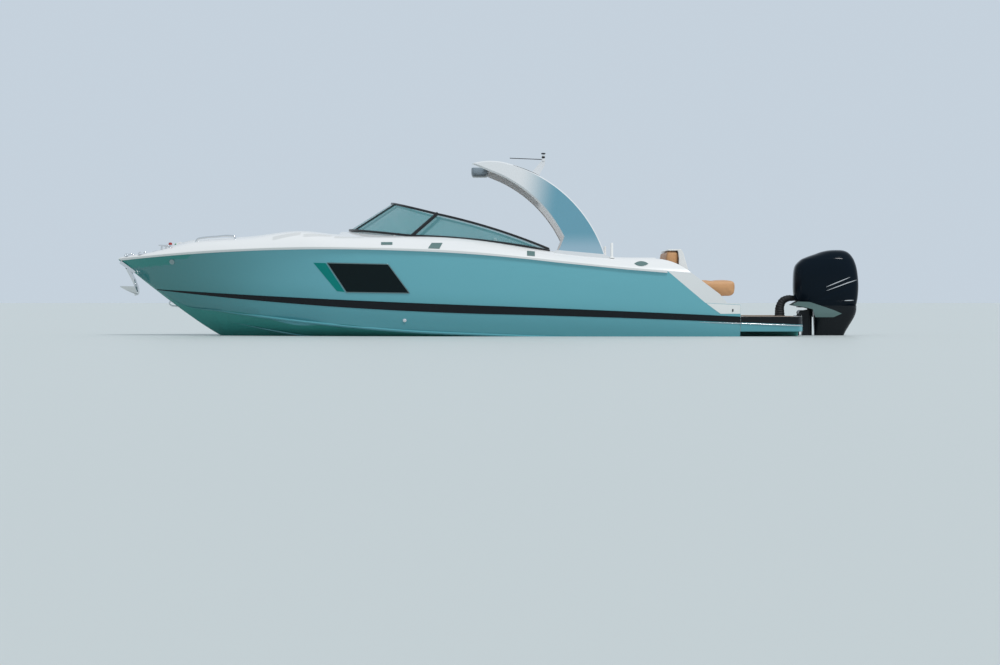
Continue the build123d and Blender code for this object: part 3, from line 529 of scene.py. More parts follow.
def landOn(points, name, axis=None):
    # points slide along one axis onto the nearest face of a CAD node, or with no axis to its nearest point
    flat = np.asarray(points, float).reshape(-1, 3)
    mesh = bpy.data.meshes.new("landing")
    mesh.from_pydata(flat.tolist(), [], [])
    probe = newObject("landing", mesh)
    drop = probe.modifiers.new("drop", "SHRINKWRAP")
    drop.target = nodes[name]
    if axis is not None:
        drop.wrap_method = "PROJECT"
        drop.use_negative_direction = drop.use_positive_direction = True
        setattr(drop, "use_project_" + "xyz"[axis], True)
    landed = coordsOf(probe, probe.evaluated_get(bpy.context.evaluated_depsgraph_get()).data).astype(float)
    bpy.data.objects.remove(probe)
    bpy.data.meshes.remove(mesh)
    return landed.reshape(np.shape(points))


print("surface tools ready")

edgeSoftness = {
    "deck": 0.008, "arch_legs": 0.012, "arch_roof": 0.012, "swim_platform": 0.010, "lounge_shell": 0.010,
    "helm_console": 0.012, "companion_console": 0.012, "bench_base": 0.010, "helm_seat_shell": 0.010,
    "companion_seat_shell": 0.010, "anchor_hatch": 0.005, "bow_door": 0.006, "transom_gate": 0.006,
    "hull": 0.004, "rub_rail": 0.003, "boot_stripe": 0.0, "hull_windows": 0.002, "window_accents": 0.0015,
    "side_vents": 0.002, "docking_lights": 0.003, "light_mast": 0.006, "antenna": 0.0,
    "stem_roller": 0.003, "dash_panel": 0.004, "throttle": 0.004, "seat_pedestals": 0.004,
    "sole_mats": 0.002, "clamp_bracket": 0.006, "swivel_bracket": 0.005, "outboard_leg": 0.005,
    "outboard_side_panels": 0.004, "propeller": 0.002,
}
ownFinish = {"docking_lights": "lens_grey"}


transomX, podX, bandTop = 3.6, 3.65, 0.2


def hullZones(at, out):
    # 1 (white) where a face looks into a well, up or astern, 2 (the underside's dark painted shade) on the bottom and
    # the pod behind the transom, 0 (teal painted shade and water reflection) on the topsides
    inward = (out[:, 1] * np.sign(at[:, 1]) < -0.2) | (np.abs(out[:, 0]) > 0.8)
    upward = (out[:, 2] > 0.35) & (at[:, 2] > 0.15)
    transom = (out[:, 0] > 0.8) & (np.abs(at[:, 0] - transomX) < 0.08)
    white = (inward & (at[:, 2] > bandTop)) | upward | transom
    bottom = (out[:, 2] < -0.6) | (at[:, 0] > podX)
    return np.where(white, 1, np.where(bottom, 2, 0))


def legShadeZones(at, out):
    # 1 on the flat, leaning outer side of each arch leg, not on its plinth: where the painted shade goes
    return (out[:, 1] * np.sign(at[:, 1]) > 0.9) & (out[:, 2] > 0.03)


def platformZones(at, out):
    # 1 round the platform's upright sides (teal painted shade), 2 under it (dark painted shade), 0 on top and in the
    # motor well
    rim = (np.abs(out[:, 2]) < 0.5) & ((np.abs(at[:, 1]) > 1.0) | (at[:, 0] > 4.44))
    return np.where(out[:, 2] < -0.5, 2, np.where(rim, 1, 0))


# nodes whose faces take painted shade by where they sit and which way they face: the zone rule and the extra materials
shadeZoneRules = {
    "hull": (hullZones, ("hull_white", "bottom_paint")), "arch_legs": (legShadeZones, ("arch_side",)),
    "swim_platform": (platformZones, ("gelcoat", "bottom_paint")),
}


def paintZones(mesh, rule):
    # the rule gives each face its material's place from its middle and its normal
    centre, out = np.empty(len(mesh.polygons) * 3), np.empty(len(mesh.polygons) * 3)
    mesh.polygons.foreach_get("center", centre)
    mesh.polygons.foreach_get("normal", out)
    mesh.polygons.foreach_set("material_index", rule(centre.reshape(-1, 3), out.reshape(-1, 3)).astype(np.int32))


def dressNode(name, width, sharpAngle=32):
    # a merged copy of a CAD node with rounded edges and smooth shading, standing for the node
    mesh = nodes[name].data.copy()
    build = bmesh.new()
    build.from_mesh(mesh)
    bmesh.ops.remove_doubles(build, verts=build.verts, dist=2e-5)
    bmesh.ops.dissolve_limit(build, angle_limit=math.radians(0.6), verts=build.verts, edges=build.edges)
    piece = smoothInto(build, newObject(name + "_skin", mesh), sharpAngle)
    if width:
        soften = piece.modifiers.new("edges", "BEVEL")
        soften.width = width
        soften.segments = 2
        soften.limit_method = "ANGLE"
        soften.angle_limit = math.radians(sharpAngle)
        soften.harden_normals = True
    finish(piece, slots[name], [name], ownFinish.get(name), bodyOf[name])
    if name in shadeZoneRules:
        rule, others = shadeZoneRules[name]
        paintZones(mesh, rule)
        for other in others:
            mesh.materials.append(materials[other])


for name, width in edgeSoftness.items():
    dressNode(name, width)
print("mouldings dressed:", len(edgeSoftness))

screen = {
    "centreFoot": (-1.407, 0, 1.383), "cornerFoot": (-0.559, 1.010, 1.290),
    "centreHead": (-0.853, 0, 1.732), "cornerHead": (-0.238, 0.955, 1.571),
    "sideFoot": (0.400, 1.068, 1.222), "sideHead": (0.571, 1.040, 1.352),
    "tailFoot": (1.210, 1.094, 1.096), "tailHead": (1.200, 1.092, 1.118),
    "railHalf": 0.0145, "postHalf": 0.021, "postPast": 0.016, "mullions": (0.345, 0.655),
}


def makeScreenFrame(s):
    # rails are arcs through three points that carry a rounded square; posts and mullions are straight
    rail = ovalProfile(s["railHalf"], s["railHalf"], 20, 5.0)
    foot, head = (
        arcThrough(np.array(s["corner" + end]) * (1, -1, 1), s["centre" + end], s["corner" + end], 90)
        for end in ("Foot", "Head"))
    parts = [tube(foot, rail), tube(head, rail)]
    sides = [tube(arcThrough(s["corner" + end], s["side" + end], s["tail" + end], 60), rail) for end in ("Foot", "Head")]
    post = ovalProfile(s["postHalf"], s["postHalf"], 24, 3.0)
    low, high = np.array(s["cornerFoot"]), np.array(s["cornerHead"])
    reach = unit(high - low) * s["postPast"]
    sides.append(tube(np.linspace(low - reach, high + reach, 6), post, starboard))
    parts += mirrored(sides)
    for share in s["mullions"]:
        k = round(share * 89)
        parts.append(tube(np.linspace(foot[k], head[k], 6), rail, starboard))
    addPiece("windscreen_rails", parts, "black_frame", ["windscreen_frame"])


makeScreenFrame(screen)
print("windscreen rails carried on arcs")

deckMetal = {
    "railPath": [(-3.405, 0.505, 1.150), (-3.352, 0.528, 1.262), (-3.30, 0.548, 1.272), (-3.10, 0.628, 1.288),
                 (-2.93, 0.692, 1.297), (-2.872, 0.711, 1.290), (-2.835, 0.722, 1.200)],
    "railRadius": 0.012,
    "cleats": [(-3.830, 0.255, 1.178), (2.480, 1.175, 0.953)],
    "hornLength": 0.15, "hornRadius": 0.0095, "legSpread": 0.028,
}


def makeBowRails(s):
    addPiece("bow_grab_rails", mirrored([bar(s["railPath"], s["railRadius"], 80, sides=18)]), "stainless", ["bow_rails"])


def makeCleats(s):
    # the horn's radius swells at the middle and tapers to rounded tips: r * (1 - 0.45 t^4)
    parts = []
    t = np.linspace(-1, 1, 30)
    for x, y, z in s["cleats"]:
        horn = np.stack([x + t * s["hornLength"] / 2, np.full(30, y), z + 0.006 * t**2], 1)
        taper = (1 - 0.45 * t**4) * np.sqrt(np.clip(1 - t**8, 0.02, 1))
        parts.append(tube(horn, ovalProfile(s["hornRadius"], s["hornRadius"], 16), size=taper))
        for d in (-s["legSpread"], s["legSpread"]):
            leg = np.array([(x + d * 1.5, y, z - 0.11), (x + d * 1.2, y, z - 0.06), (x + d, y, z - 0.02), (x + d, y, z)])
            parts.append(tube(leg, ovalProfile(0.010, 0.008, 14), starboard))
    addPiece("deck_cleats", mirrored(parts), "stainless", ["cleats"])


makeBowRails(deckMetal)
makeCleats(deckMetal)
print("bow rails and cleats")


def roundedPad(corners, radius, spacing, crown, pull):
    # cube grid -> rounded box (clamped core + radius * direction), crowned top, pinched sides,
    # then trilinear between the corners
    sizes = [np.linalg.norm((corners.take(1, a) - corners.take(0, a)).reshape(-1, 3), axis=1).mean() for a in range(3)]
    half = np.array(sizes) / 2
    lines = [np.linspace(-1, 1, max(4, int(round(size / spacing))) + 1) for size in sizes]
    parts = []
    for axis in range(3):
        a, b = [k for k in range(3) if k != axis]
        u, v = np.meshgrid(lines[a], lines[b], indexing="ij")
        for end in (-1, 1):
            cube = np.zeros((*u.shape, 3))
            cube[..., a], cube[..., b], cube[..., axis] = u, v, end
            at = cube * half
            core = np.clip(at, -(half - radius), half - radius)
            q = (core + radius * unit(at - core)) / half
            q[..., 2] += crown / half[2] * (q[..., 2] > 0) * inside(q[..., 0]) * inside(q[..., 1])
            q[..., 0] *= 1 - pull / half[0] * inside(q[..., 1])
            q[..., 1] *= 1 - pull / half[1] * inside(q[..., 0])
            parts.append((trilinear(corners, q), gridFaces(len(lines[a]), len(lines[b]), False, False)))
    return parts, half


def inside(q):
    # 1 in the middle of a side, 0 at its ends
    return 1 - np.clip(q, -1, 1) ** 2


def trilinear(corners, q):
    # places between the eight corners, q from -1 to 1 on each axis
    t = (np.asarray(q) + 1) / 2
    x, y, z = t[..., :1], t[..., 1:2], t[..., 2:]
    low, high = (
        (1 - x) * ((1 - y) * corners[0, 0, k] + y * corners[0, 1, k])
        + x * ((1 - y) * corners[1, 0, k] + y * corners[1, 1, k]) for k in (0, 1))
    return (1 - z) * low + z * high


def boxCorners(low, high):
    # the eight corners of an upright box, by x, y and z
    return [[[(x, y, z) for z in (low[2], high[2])] for y in (low[1], high[1])] for x in (low[0], high[0])]


def leanCorners(y0, y1, foot, head):
    # foot and head: (x front, x rear, z); local x runs across, y up the back, z from rear to front face
    return [[[(end[1], y, end[2]), (end[0], y, end[2])] for end in (foot, head)] for y in (y0, y1)]


def inflate(piece, held, cap, pressure=4.0):
    # cloth under inner pressure for 20 frames; points in held stay, no point moves further than cap
    before = coordsOf(piece)
    group = piece.vertex_groups.new(name="sewn")
    group.add([int(k) for k in np.flatnonzero(held)], 1.0, "REPLACE")
    cloth = piece.modifiers.new("fill", "CLOTH")
    cloth.settings.quality = 4
    cloth.settings.use_pressure = True
    cloth.settings.uniform_pressure_force = pressure
    cloth.settings.effector_weights.gravity = 0
    cloth.settings.vertex_group_mass = "sewn"
    cloth.settings.tension_stiffness = 12
    cloth.settings.bending_stiffness = 0.6
    for step in range(1, 21):
        scene.frame_set(step)
    after = coordsOf(piece, piece.evaluated_get(bpy.context.evaluated_depsgraph_get()).data)
    piece.modifiers.remove(cloth)
    piece.vertex_groups.remove(group)
    scene.frame_set(1)
    move = after - before
    move *= np.minimum(1, cap / np.maximum(np.linalg.norm(move, axis=1, keepdims=True), 1e-9))
    piece.data.vertices.foreach_set("co", (before + move).astype(np.float32).ravel())
    piece.data.update()


sewing = {
    "seamIn": 0.28, "seamDown": 0.5,  # shares of the edge's radius, from the side and from the top
    "seamPoints": 160, "pipingRadius": 0.0045,
    "channelReach": 0.94, "channelWidth": 0.016,
}


def makePad(name, body, corners, replaced=(), radius=0.028, crown=0.012, pull=0.006, spacing=0.016, channels=(),
            groove=0.009, cap=0.012):
    # one cushion: rounded block, sewn lines held, filled by cloth pressure, with piping round its top edge
    corners = np.array(corners, float).reshape(2, 2, 2, 3)
    parts, half = roundedPad(corners, radius, spacing, crown * 0.5, pull)
    piece = putMesh(name, parts, 180)
    at = coordsOf(piece)
    count, tuck = sewing["seamPoints"], radius * sewing["seamIn"]
    loop = ovalProfile(1 - tuck / half[0], 1 - tuck / half[1], count, 14.0)
    seam = trilinear(corners, np.stack([
        loop[:, 0] * (1 - pull / half[0] * (1 - loop[:, 1] ** 2)),
        loop[:, 1] * (1 - pull / half[1] * (1 - loop[:, 0] ** 2)),
        np.full(count, 1 - radius * sewing["seamDown"] / half[2])], 1))
    held = np.linalg.norm(at[:, None] - seam[None, ::2], axis=2).min(1) < spacing * 0.75
    inward = unit(trilinear(corners, np.array([[0, 0, -1.0]])) - trilinear(corners, np.array([[0, 0, 1.0]])))
    for axis, place in channels:
        line, level = np.linspace(-sewing["channelReach"], sewing["channelReach"], 90), np.full(90, place)
        row = trilinear(corners, np.stack([level, line, np.ones(90)] if axis == 0 else [line, level, np.ones(90)], 1))
        gap = np.linalg.norm(at[:, None] - row[None], axis=2).min(1)
        at = at + inward * (groove * np.exp(-((gap / sewing["channelWidth"]) ** 2)))[:, None]
        held |= gap < spacing * 0.7
    piece.data.vertices.foreach_set("co", at.astype(np.float32).ravel())
    inflate(piece, held, cap)
    finish(piece, "upholstery", replaced, None, body)
    soft = piece.modifiers.new("smooth", "SUBSURF")
    soft.levels = soft.render_levels = 1
    leaning = half[2] < half[0] and corners[0, 0, 0, 2] != corners[0, 1, 0, 2]
    r = sewing["pipingRadius"]
    edging = tube(seam, ovalProfile(r, r, 8), (0.05, 0.02, 1) if leaning else skyward, closed=True)
    addPiece(name + "_piping", [edging], "upholstery", (), "piping", body)


cushions = {
    "benchSpans": {"port": (-0.984, -0.506), "middle": (-0.498, -0.022), "gate": (-0.014, 0.443)},
    "benchX": (2.128, 2.668), "benchZ": (0.6405, 0.765),
    "benchBack": ((2.680, 2.846, 0.770), (2.712, 2.850, 1.090)),  # foot and head: x front, x rear, z
    "lounge": ((3.064, -0.948, 0.5305), (3.588, 0.438, 0.711)),
    "seatY": 0.56, "seatHalf": 0.254, "seatX": (-0.064, 0.348), "seatZ": (0.6403, 0.780),
    "backHalf": 0.24, "seatBack": ((0.322, 0.404, 0.783), (0.388, 0.480, 1.232)),
    "bowZ": (0.7905, 0.878),
    # plan of a bow pad: x, inner y, outer y at each end
    "bowFore": ((-3.048, 0.008, 0.424), (-2.766, 0.008, 0.540)),
    "bowSide": ((-2.758, 0.287, 0.544), (-1.792, 0.287, 0.762)),
    "bowRest": ((-1.776, -1.510, 0.793), (-1.602, -1.510, 1.222)), "bowRestY": (0.293, 0.777),
}


def makeCushions(s):
    # the first pad of a CAD cushion node stands for the whole node
    stands = {"bench_seat": ["bench_seat_cushions"], "bench_back": ["bench_back_cushion"],
              "bow_fore": ["bow_seat_pads"], "bow_rest": ["bow_backrests"]}
    for label, (y0, y1) in s["benchSpans"].items():
        low, high = zip(s["benchX"], (y0, y1), s["benchZ"])
        makePad("bench_seat_" + label, "boat", boxCorners(low, high), stands.pop("bench_seat", ()), channels=[(0, 0.25)])
    for label, span in s["benchSpans"].items():
        corners = leanCorners(*span, *s["benchBack"])
        makePad("bench_back_" + label, "boat", corners, stands.pop("bench_back", ()), channels=[(1, 0.1)])
    makePad("lounge_pad", "boat", boxCorners(*s["lounge"]), ["lounge_cushion"],
            radius=0.045, crown=0.014, spacing=0.02, channels=[(0, -0.05), (1, -0.33), (1, 0.33)])
    for hand, label in ((1, "helm"), (-1, "companion")):
        y, body = s["seatY"] * hand, label + "_seat"
        low, high = zip(s["seatX"], (y - s["seatHalf"], y + s["seatHalf"]), s["seatZ"])
        makePad(body + "_pad", body, boxCorners(low, high), [body + "_cushions"],
                radius=0.036, channels=[(0, -0.35), (1, -0.62), (1, 0.62)])
        corners = leanCorners(y - s["backHalf"], y + s["backHalf"], *s["seatBack"])
        makePad(label + "_back_pad", body, corners, radius=0.030, channels=[(0, -0.6), (0, 0.6), (1, 0.25)])
    for hand, label in ((1, "starboard"), (-1, "port")):
        fore, side = (
            [[[(x, y * hand, z) for z in s["bowZ"]] for y in (inner, outer)] for x, inner, outer in s[part]]
            for part in ("bowFore", "bowSide"))
        rest = leanCorners(*(y * hand for y in s["bowRestY"]), *s["bowRest"])
        makePad("bow_fore_" + label, "boat", fore, stands.pop("bow_fore", ()), radius=0.022)
        makePad("bow_side_" + label, "boat", side, radius=0.022, spacing=0.018, channels=[(0, 0.0)])
        makePad("bow_rest_" + label, "boat", rest, stands.pop("bow_rest", ()), radius=0.022, channels=[(1, 0.0)])


makeCushions(cushions)
print("cushions sewn and filled")

motor = {
    # columns: height, front, rear, half width, roundness of the plan
    "rows": [(0.392, 4.482, 5.262, 0.204, 2.9), (0.450, 4.456, 5.276, 0.222, 3.0), (0.560, 4.437, 5.288, 0.237, 3.1),
             (0.700, 4.434, 5.290, 0.244, 3.2), (0.830, 4.440, 5.277, 0.245, 3.2), (0.920, 4.462, 5.259, 0.238, 3.1),
             (0.985, 4.520, 5.236, 0.222, 3.0), (1.030, 4.602, 5.212, 0.200, 2.8), (1.070, 4.715, 5.182, 0.168, 2.6),
             (1.100, 4.800, 5.145, 0.130, 2.4), (1.118, 4.880, 5.100, 0.080, 2.2), (1.1249, 4.940, 5.060, 0.030, 2.0)],
    "heights": 90, "around": 128,
    "partingZ": 0.452, "partingDepth": 0.004,
    "crease": (4.85, 0.56, 0.42), "creaseDepth": 0.007,  # a point on the flank's line in side view, and its slope
    "strips": [[(4.845, 0.637), (5.160, 0.765)], [(4.850, 0.588), (5.120, 0.688), (5.255, 0.730)],
               [(5.085, 0.458), (5.215, 0.462)]],
    "stripWidth": 0.012,
}


def motorRows(s, z):
    # front, rear, half width and roundness at a height
    smooth = smoothPath(s["rows"], 400)
    return [np.interp(z, smooth[:, 0], smooth[:, k]) for k in range(1, 5)]


def motorHalf(s, x, z):
    # half width of the cowl at a point of its side: b * (1 - |x/a|^p)^(1/p)
    front, rear, half, power = motorRows(s, z)
    share = np.clip(np.abs((x - (front + rear) / 2) / ((rear - front) / 2)), 0, 0.999)
    return half * (1 - share**power) ** (1 / power)


def flankDent(s, x, z):
    # a shallow crease: a Gaussian across a line that climbs from low front to high rear, faded at both ends
    x0, z0, slope = s["crease"]
    line = z0 + (x - x0) * slope
    fade = np.clip((x - 4.62) / 0.2, 0, 1) * np.clip((5.27 - x) / 0.08, 0, 1)
    return s["creaseDepth"] * np.exp(-(((z - line + 0.03) / 0.035) ** 2)) * fade


def makeCowl(s):
    # stacked superellipses between splined front, rear and half width, with a parting groove
    low, high = s["rows"][0][0], s["rows"][-1][0]
    z = low + (high - low) * np.sin(np.linspace(0, 1, s["heights"]) * math.pi / 2)
    z = np.unique(np.r_[z, s["partingZ"] + np.array([-0.008, -0.004, 0, 0.004, 0.008])])[:, None]
    front, rear, half, power = motorRows(s, z)
    groove = s["partingDepth"] * np.exp(-(((z - s["partingZ"]) / 0.003) ** 2))
    t = np.linspace(0, 2 * math.pi, s["around"], endpoint=False)[None]
    grow = (np.abs(np.cos(t)) ** power + np.abs(np.sin(t)) ** power) ** (-1 / power)
    x = (front + rear) / 2 + ((rear - front) / 2 - groove) * np.cos(t) * grow
    y = (half - groove) * np.sin(t) * grow
    y = y - np.sign(y) * flankDent(s, x, z) * np.clip(np.abs(y) / 0.15, 0, 1)
    shell = ringed(np.stack([x, y, np.broadcast_to(z, x.shape)], -1))
    addPiece("motor_cowl", [shell], "cowl_black", ["outboard_cowl"], body="outboard")


def makeStrips(s):
    # thin bright strips that lie on the flank, tapered at both ends
    parts = []
    at = np.linspace(0, 1, 40)
    for knots in s["strips"]:
        x, z = (np.interp(at, np.linspace(0, 1, len(knots)), column) for column in zip(*knots))
        path = np.stack([x, motorHalf(s, x, z) - flankDent(s, x, z) + 0.0005, z], 1)
        taper = np.sin(np.pi * np.clip(at, 0.02, 0.98)) ** 0.5
        parts.append(tube(path, ovalProfile(0.0022, s["stripWidth"] / 2, 12, 3.0), size=taper))
    addPiece("cowl_slashes", mirrored(parts), "grey_plastic", (), "slash_silver", "outboard")


makeCowl(motor)
makeStrips(motor)
print("outboard cowl")

hullTrim = {
    "strakes": [(0.34, -2.60), (0.68, -2.95)],  # share of the way from keel to chine, and where each starts
    "strakeEnd": 3.60, "chineStart": -3.70, "chineEnd": 3.62,
    "wedge": [(-0.030, 0.010), (-0.028, -0.006), (-0.006, -0.016), (0.026, -0.014), (0.030, 0.010)],
    "lip": [(-0.030, 0.004), (-0.016, 0.020), (0.010, 0.014), (0.020, 0.000), (0.019, -0.012), (0.006, -0.018),
            (-0.020, -0.010)],
    "throughHulls": [(-0.65, 0.205)], "fittingRadius": 0.024,
    "windowRim": [(-1.640, 0.940), (-0.856, 0.921), (-0.586, 0.553), (-1.396, 0.566)], "windowRimRadius": 0.006,
}
hullLines = [
    # columns: x, keel z, chine half breadth, chine z, sheer half breadth, sheer z
    (-4.454, 0.990, 0.008, 0.994, 0.026, 1.007), (-4.300, 0.867, 0.024, 0.884, 0.172, 1.022),
    (-4.000, 0.626, 0.062, 0.655, 0.390, 1.045), (-3.600, 0.323, 0.130, 0.405, 0.600, 1.075),
    (-3.100, -0.005, 0.385, 0.325, 0.820, 1.105), (-2.500, -0.240, 0.630, 0.245, 1.010, 1.128),
    (-1.700, -0.400, 0.850, 0.155, 1.165, 1.140), (-0.700, -0.470, 1.000, 0.068, 1.265, 1.121),
    (0.600, -0.495, 1.090, 0.010, 1.308, 1.043), (1.300, -0.500, 1.105, -0.015, 1.310, 0.968),
    (2.200, -0.500, 1.112, -0.045, 1.303, 0.878), (3.640, -0.500, 1.105, -0.080, 1.262, 0.760),
    (4.454, -0.500, 1.095, -0.090, 1.238, 0.700)]


def chineAt(x):
    # half breadth and height of the chine, on the spline through all the hull's lines
    smooth = smoothPath(hullLines, 600)
    return [np.interp(x, smooth[:, 0], smooth[:, k]) for k in (2, 3)]


def onSide(x, z, lift=0.0, node="hull"):
    # points of the starboard topsides at given x and z, met from outboard
    x, z = np.broadcast_arrays(np.asarray(x, float), np.asarray(z, float))
    landed = landOn(np.stack([x, np.full(x.shape, 1.6), z], -1), node, 1)
    landed[..., 1] += lift
    return landed


def makeSprayRails(s):
    # a wedge section carried along lines that keep one share of the bottom's breadth, and a lip along the chine
    parts = []
    for share, start in s["strakes"]:
        x = np.linspace(start, s["strakeEnd"], 150)
        path = landOn(np.stack([x, chineAt(x)[0] * share, np.full_like(x, -1.2)], 1), "hull", 2)
        parts.append(tube(path, np.array(s["wedge"]), size=np.clip((x - start) / 0.7, 0.08, 1)))
    x = np.linspace(s["chineStart"], s["chineEnd"], 200)
    path = np.stack([x, *chineAt(x)], 1)
    parts.append(tube(path, np.array(s["lip"]), size=np.clip((x - s["chineStart"]) / 1.2, 0.08, 1)))
    addPiece("spray_rails", mirrored(parts), "gelcoat", sharpAngle=30)


def sideBoss(x, z, y, outline, rows):
    # rings of an outline in side view, each row a share of it and a height off the side
    share, lift = np.array(rows).T[..., None]
    u, v = outline.T
    return ringed(np.stack([x + share * u, y + lift + 0 * u, z + share * v], -1))


def makeThroughHulls(s):
    # low domed discs on the hull's side, rings of shrinking radius
    outline = ovalProfile(s["fittingRadius"], s["fittingRadius"], 24)
    rows = [(1.0, -0.006), (1.0, 0.003), (0.85, 0.006), (0.55, 0.007), (0.2, 0.0072)]
    parts = [sideBoss(x, z, onSide([x], [z])[0, 1], outline, rows) for x, z in s["throughHulls"]]
    addPiece("through_hulls", mirrored(parts), "stainless")


def makeWindowRims(s):
    # a slim bead round each topside window, laid on the glass edge
    knots = s["windowRim"] + s["windowRim"][:1]
    at = np.linspace(0, 4, 121)[:-1]
    x, z = (np.interp(at, range(5), column) for column in zip(*knots))
    r = s["windowRimRadius"]
    bead = tube(onSide(x, z, 0.003), ovalProfile(r, r * 0.8, 10), starboard, closed=True)
    addPiece("window_rims", mirrored([bead]), "black_plastic", (), "rim_metal")


quarter = {
    # the sunlit end of the topsides above the dark band, in side view, drawn as a white skin: painted light against the
    # painted shade of the teal sides
    "foreLow": 3.385, "foreHigh": 3.200, "aft": 3.6385, "low": 0.290, "edgeGap": 0.0035, "proud": 0.002, "sunk": 0.004,
    "slot": (3.539, 0.3435), "slotHalf": (0.009, 0.0285),
}


def makeQuarterCaps(s):
    # a thin white skin over the hull's side, painted light of the sunlit quarter: x between a slanted front edge and
    # the transom, z from the band to the hull's own edge
    t, u = np.meshgrid(np.linspace(0, 1, 14), np.linspace(0, 1, 28), indexing="ij")
    fore = s["foreLow"] + (s["foreHigh"] - s["foreLow"]) * t
    x = fore + (s["aft"] - fore) * u
    edge = landOn(np.stack([x, onSide(x, 0.39)[..., 1] - 0.006, np.full(x.shape, 1.2)], -1), "hull", 2)[..., 2]
    skin = onSide(x, s["low"] + (edge - s["edgeGap"] - s["low"]) * t)
    sheet = closedSheet(skin + (0, s["proud"], 0), skin - (0, s["sunk"], 0))
    addPiece("quarter_caps", mirrored(sheet), "deck_gelcoat", (), "hull_white")


def makeQuarterSlots(s):
    # a dark drain slot in each quarter: a rounded lozenge that stands a little off the skin
    x, z = s["slot"]
    y = onSide([x], [z])[0, 1] + s["proud"]
    slot = sideBoss(x, z, y, ovalProfile(*s["slotHalf"], 24, 4.0), [(1.0, -0.004), (1.0, 0.001), (0.7, 0.0015)])
    addPiece("quarter_slots", mirrored([slot]), "black_plastic")


makeSprayRails(hullTrim)
makeThroughHulls(hullTrim)
makeWindowRims(hullTrim)
makeQuarterCaps(quarter)
makeQuarterSlots(quarter)
print("hull strakes, window rims and quarters")

platform = {
    "start": 3.644, "end": 4.454, "corner": 0.26, "halfEnd": 1.238,
    "bandLow": (0.180, 0.150), "bandHigh": 0.2545, "bandProud": 0.0035,
    "trimZ": (0.168, 0.136), "trimStart": (3.12, 0.180), "trimRadius": 0.007,
    "wellHalf": 0.38, "top": 0.255, "sideProbes": (3.70, 4.15), "probeZ": 0.22,
    "outside": 0.02,  # how far the guessed outline stands off the platform before it is landed
    "pads": [(3.70, 4.34, 0.44, 1.12), (3.70, 4.34, -1.12, -0.44), (3.70, 4.09, -0.40, 0.40)],
}


def platformEdge(s, proud, z):
    # plan outline of the starboard half at one height: a guess outside the platform, landed on it,
    # then moved out square to itself
    (x0, x1), out = s["sideProbes"], s["outside"]
    near, far = landOn([[x, 1.6, s["probeZ"]] for x in (x0, x1)], "swim_platform", 1)[:, 1]
    cx, cy = s["end"] - s["corner"], s["halfEnd"] - s["corner"]
    turn = np.linspace(0, math.pi / 2, 50)[1:]
    x = np.r_[np.linspace(s["start"] + 0.001, cx, 24), cx + (s["corner"] + out) * np.sin(turn)]
    side = near + (far - near) * (x - x0) / (x1 - x0) + out
    y = np.minimum(side, np.r_[np.full(24, 2.0), cy + (s["corner"] + out) * np.cos(turn)])
    run = np.linspace(cy, s["wellHalf"] + 0.012, 20)[1:]
    x, y = np.r_[x, np.full(19, s["end"] + out)], np.r_[y, run]
    z = np.broadcast_to(z, x.shape) if np.ndim(z) == 0 else np.interp(x, (s["start"], s["end"]), z)
    landed = landOn(np.stack([x, y, z], -1), "swim_platform")
    ahead = unit(np.gradient(landed[:, :2], axis=0))
    return np.stack([landed[:, 0] - ahead[:, 1] * proud, landed[:, 1] + ahead[:, 0] * proud, z], -1)


def makePlatformBand(s):
    # four rows of the outline at rising heights, closed to itself as a thin strip
    low, high, proud = np.array(s["bandLow"]), s["bandHigh"], s["bandProud"]
    section = (-0.004, low), (proud, low + 0.002), (proud, high - 0.004), (-0.004, high - 0.0005)
    rows = [platformEdge(s, out, z) for out, z in section]
    addPiece("platform_band", mirrored([ringed(np.stack(rows, 1))]), "stripe", sharpAngle=50)


def makePlatformTrim(s):
    # a half-round rail below the band: oval section carried along the outline, tapering in from the hull's side
    edge = platformEdge(s, 0.002, s["trimZ"])
    x0, z0 = s["trimStart"]
    lead = np.linspace(x0, s["start"] - 0.02, 24)
    side = onSide(lead, np.interp(lead, (x0, s["start"]), (z0, s["trimZ"][0])), 0.001)
    size = np.r_[np.linspace(0.2, 1, 24), np.ones(len(edge))]
    rail = tube(np.vstack([side, edge]), ovalProfile(s["trimRadius"], s["trimRadius"], 12), size=size)
    addPiece("platform_trim", mirrored([rail]), "stainless")


def makePlatformPads(s):
    # foam sheets: superellipse outline, rolled edge of four rows
    rows = [(1.0, -0.001), (1.0, 0.003), (0.99, 0.005), (0.5, 0.005)]
    parts = []
    for lowX, highX, lowY, highY in s["pads"]:
        middle, half = ((lowX + highX) / 2, (lowY + highY) / 2, s["top"]), ((highX - lowX) / 2, (highY - lowY) / 2)
        parts.append(stack(middle, astern, starboard, half, rows, 9.0, 120))
    addPiece("platform_pads", parts, "mat")


makePlatformBand(platform)
makePlatformTrim(platform)
makePlatformPads(platform)
print("platform trim")

helmFace = {
    "low": (-0.520, 1.030), "high": (-0.620, 1.203),  # x and z of the sloping face's edges
    "panelProud": 0.0103, "y": 0.56,
    # share of the way up the face, offset across it, radius
    "gauges": [(0.72, 0.150, 0.034), (0.72, -0.150, 0.034), (0.74, 0.072, 0.026), (0.74, -0.072, 0.026)],
    "switches": 6, "switchShare": 0.36, "switchY": 0.110, "switchPitch": 0.0186, "switchHalf": (0.0075, 0.013),
    "screenShare": 0.46, "screenY": 0.165, "screenHalf": (0.052, 0.036), "screenRim": 0.006,
}


def facePoint(s, share, proud, y):
    # a point on the console's sloping face, stood off square to it
    (x0, z0), (x1, z1) = s["low"], s["high"]
    out = unit(np.array([z1 - z0, 0, x0 - x1]))
    return np.array([x0 + share * (x1 - x0), y, z0 + share * (z1 - z0)]) + out * proud


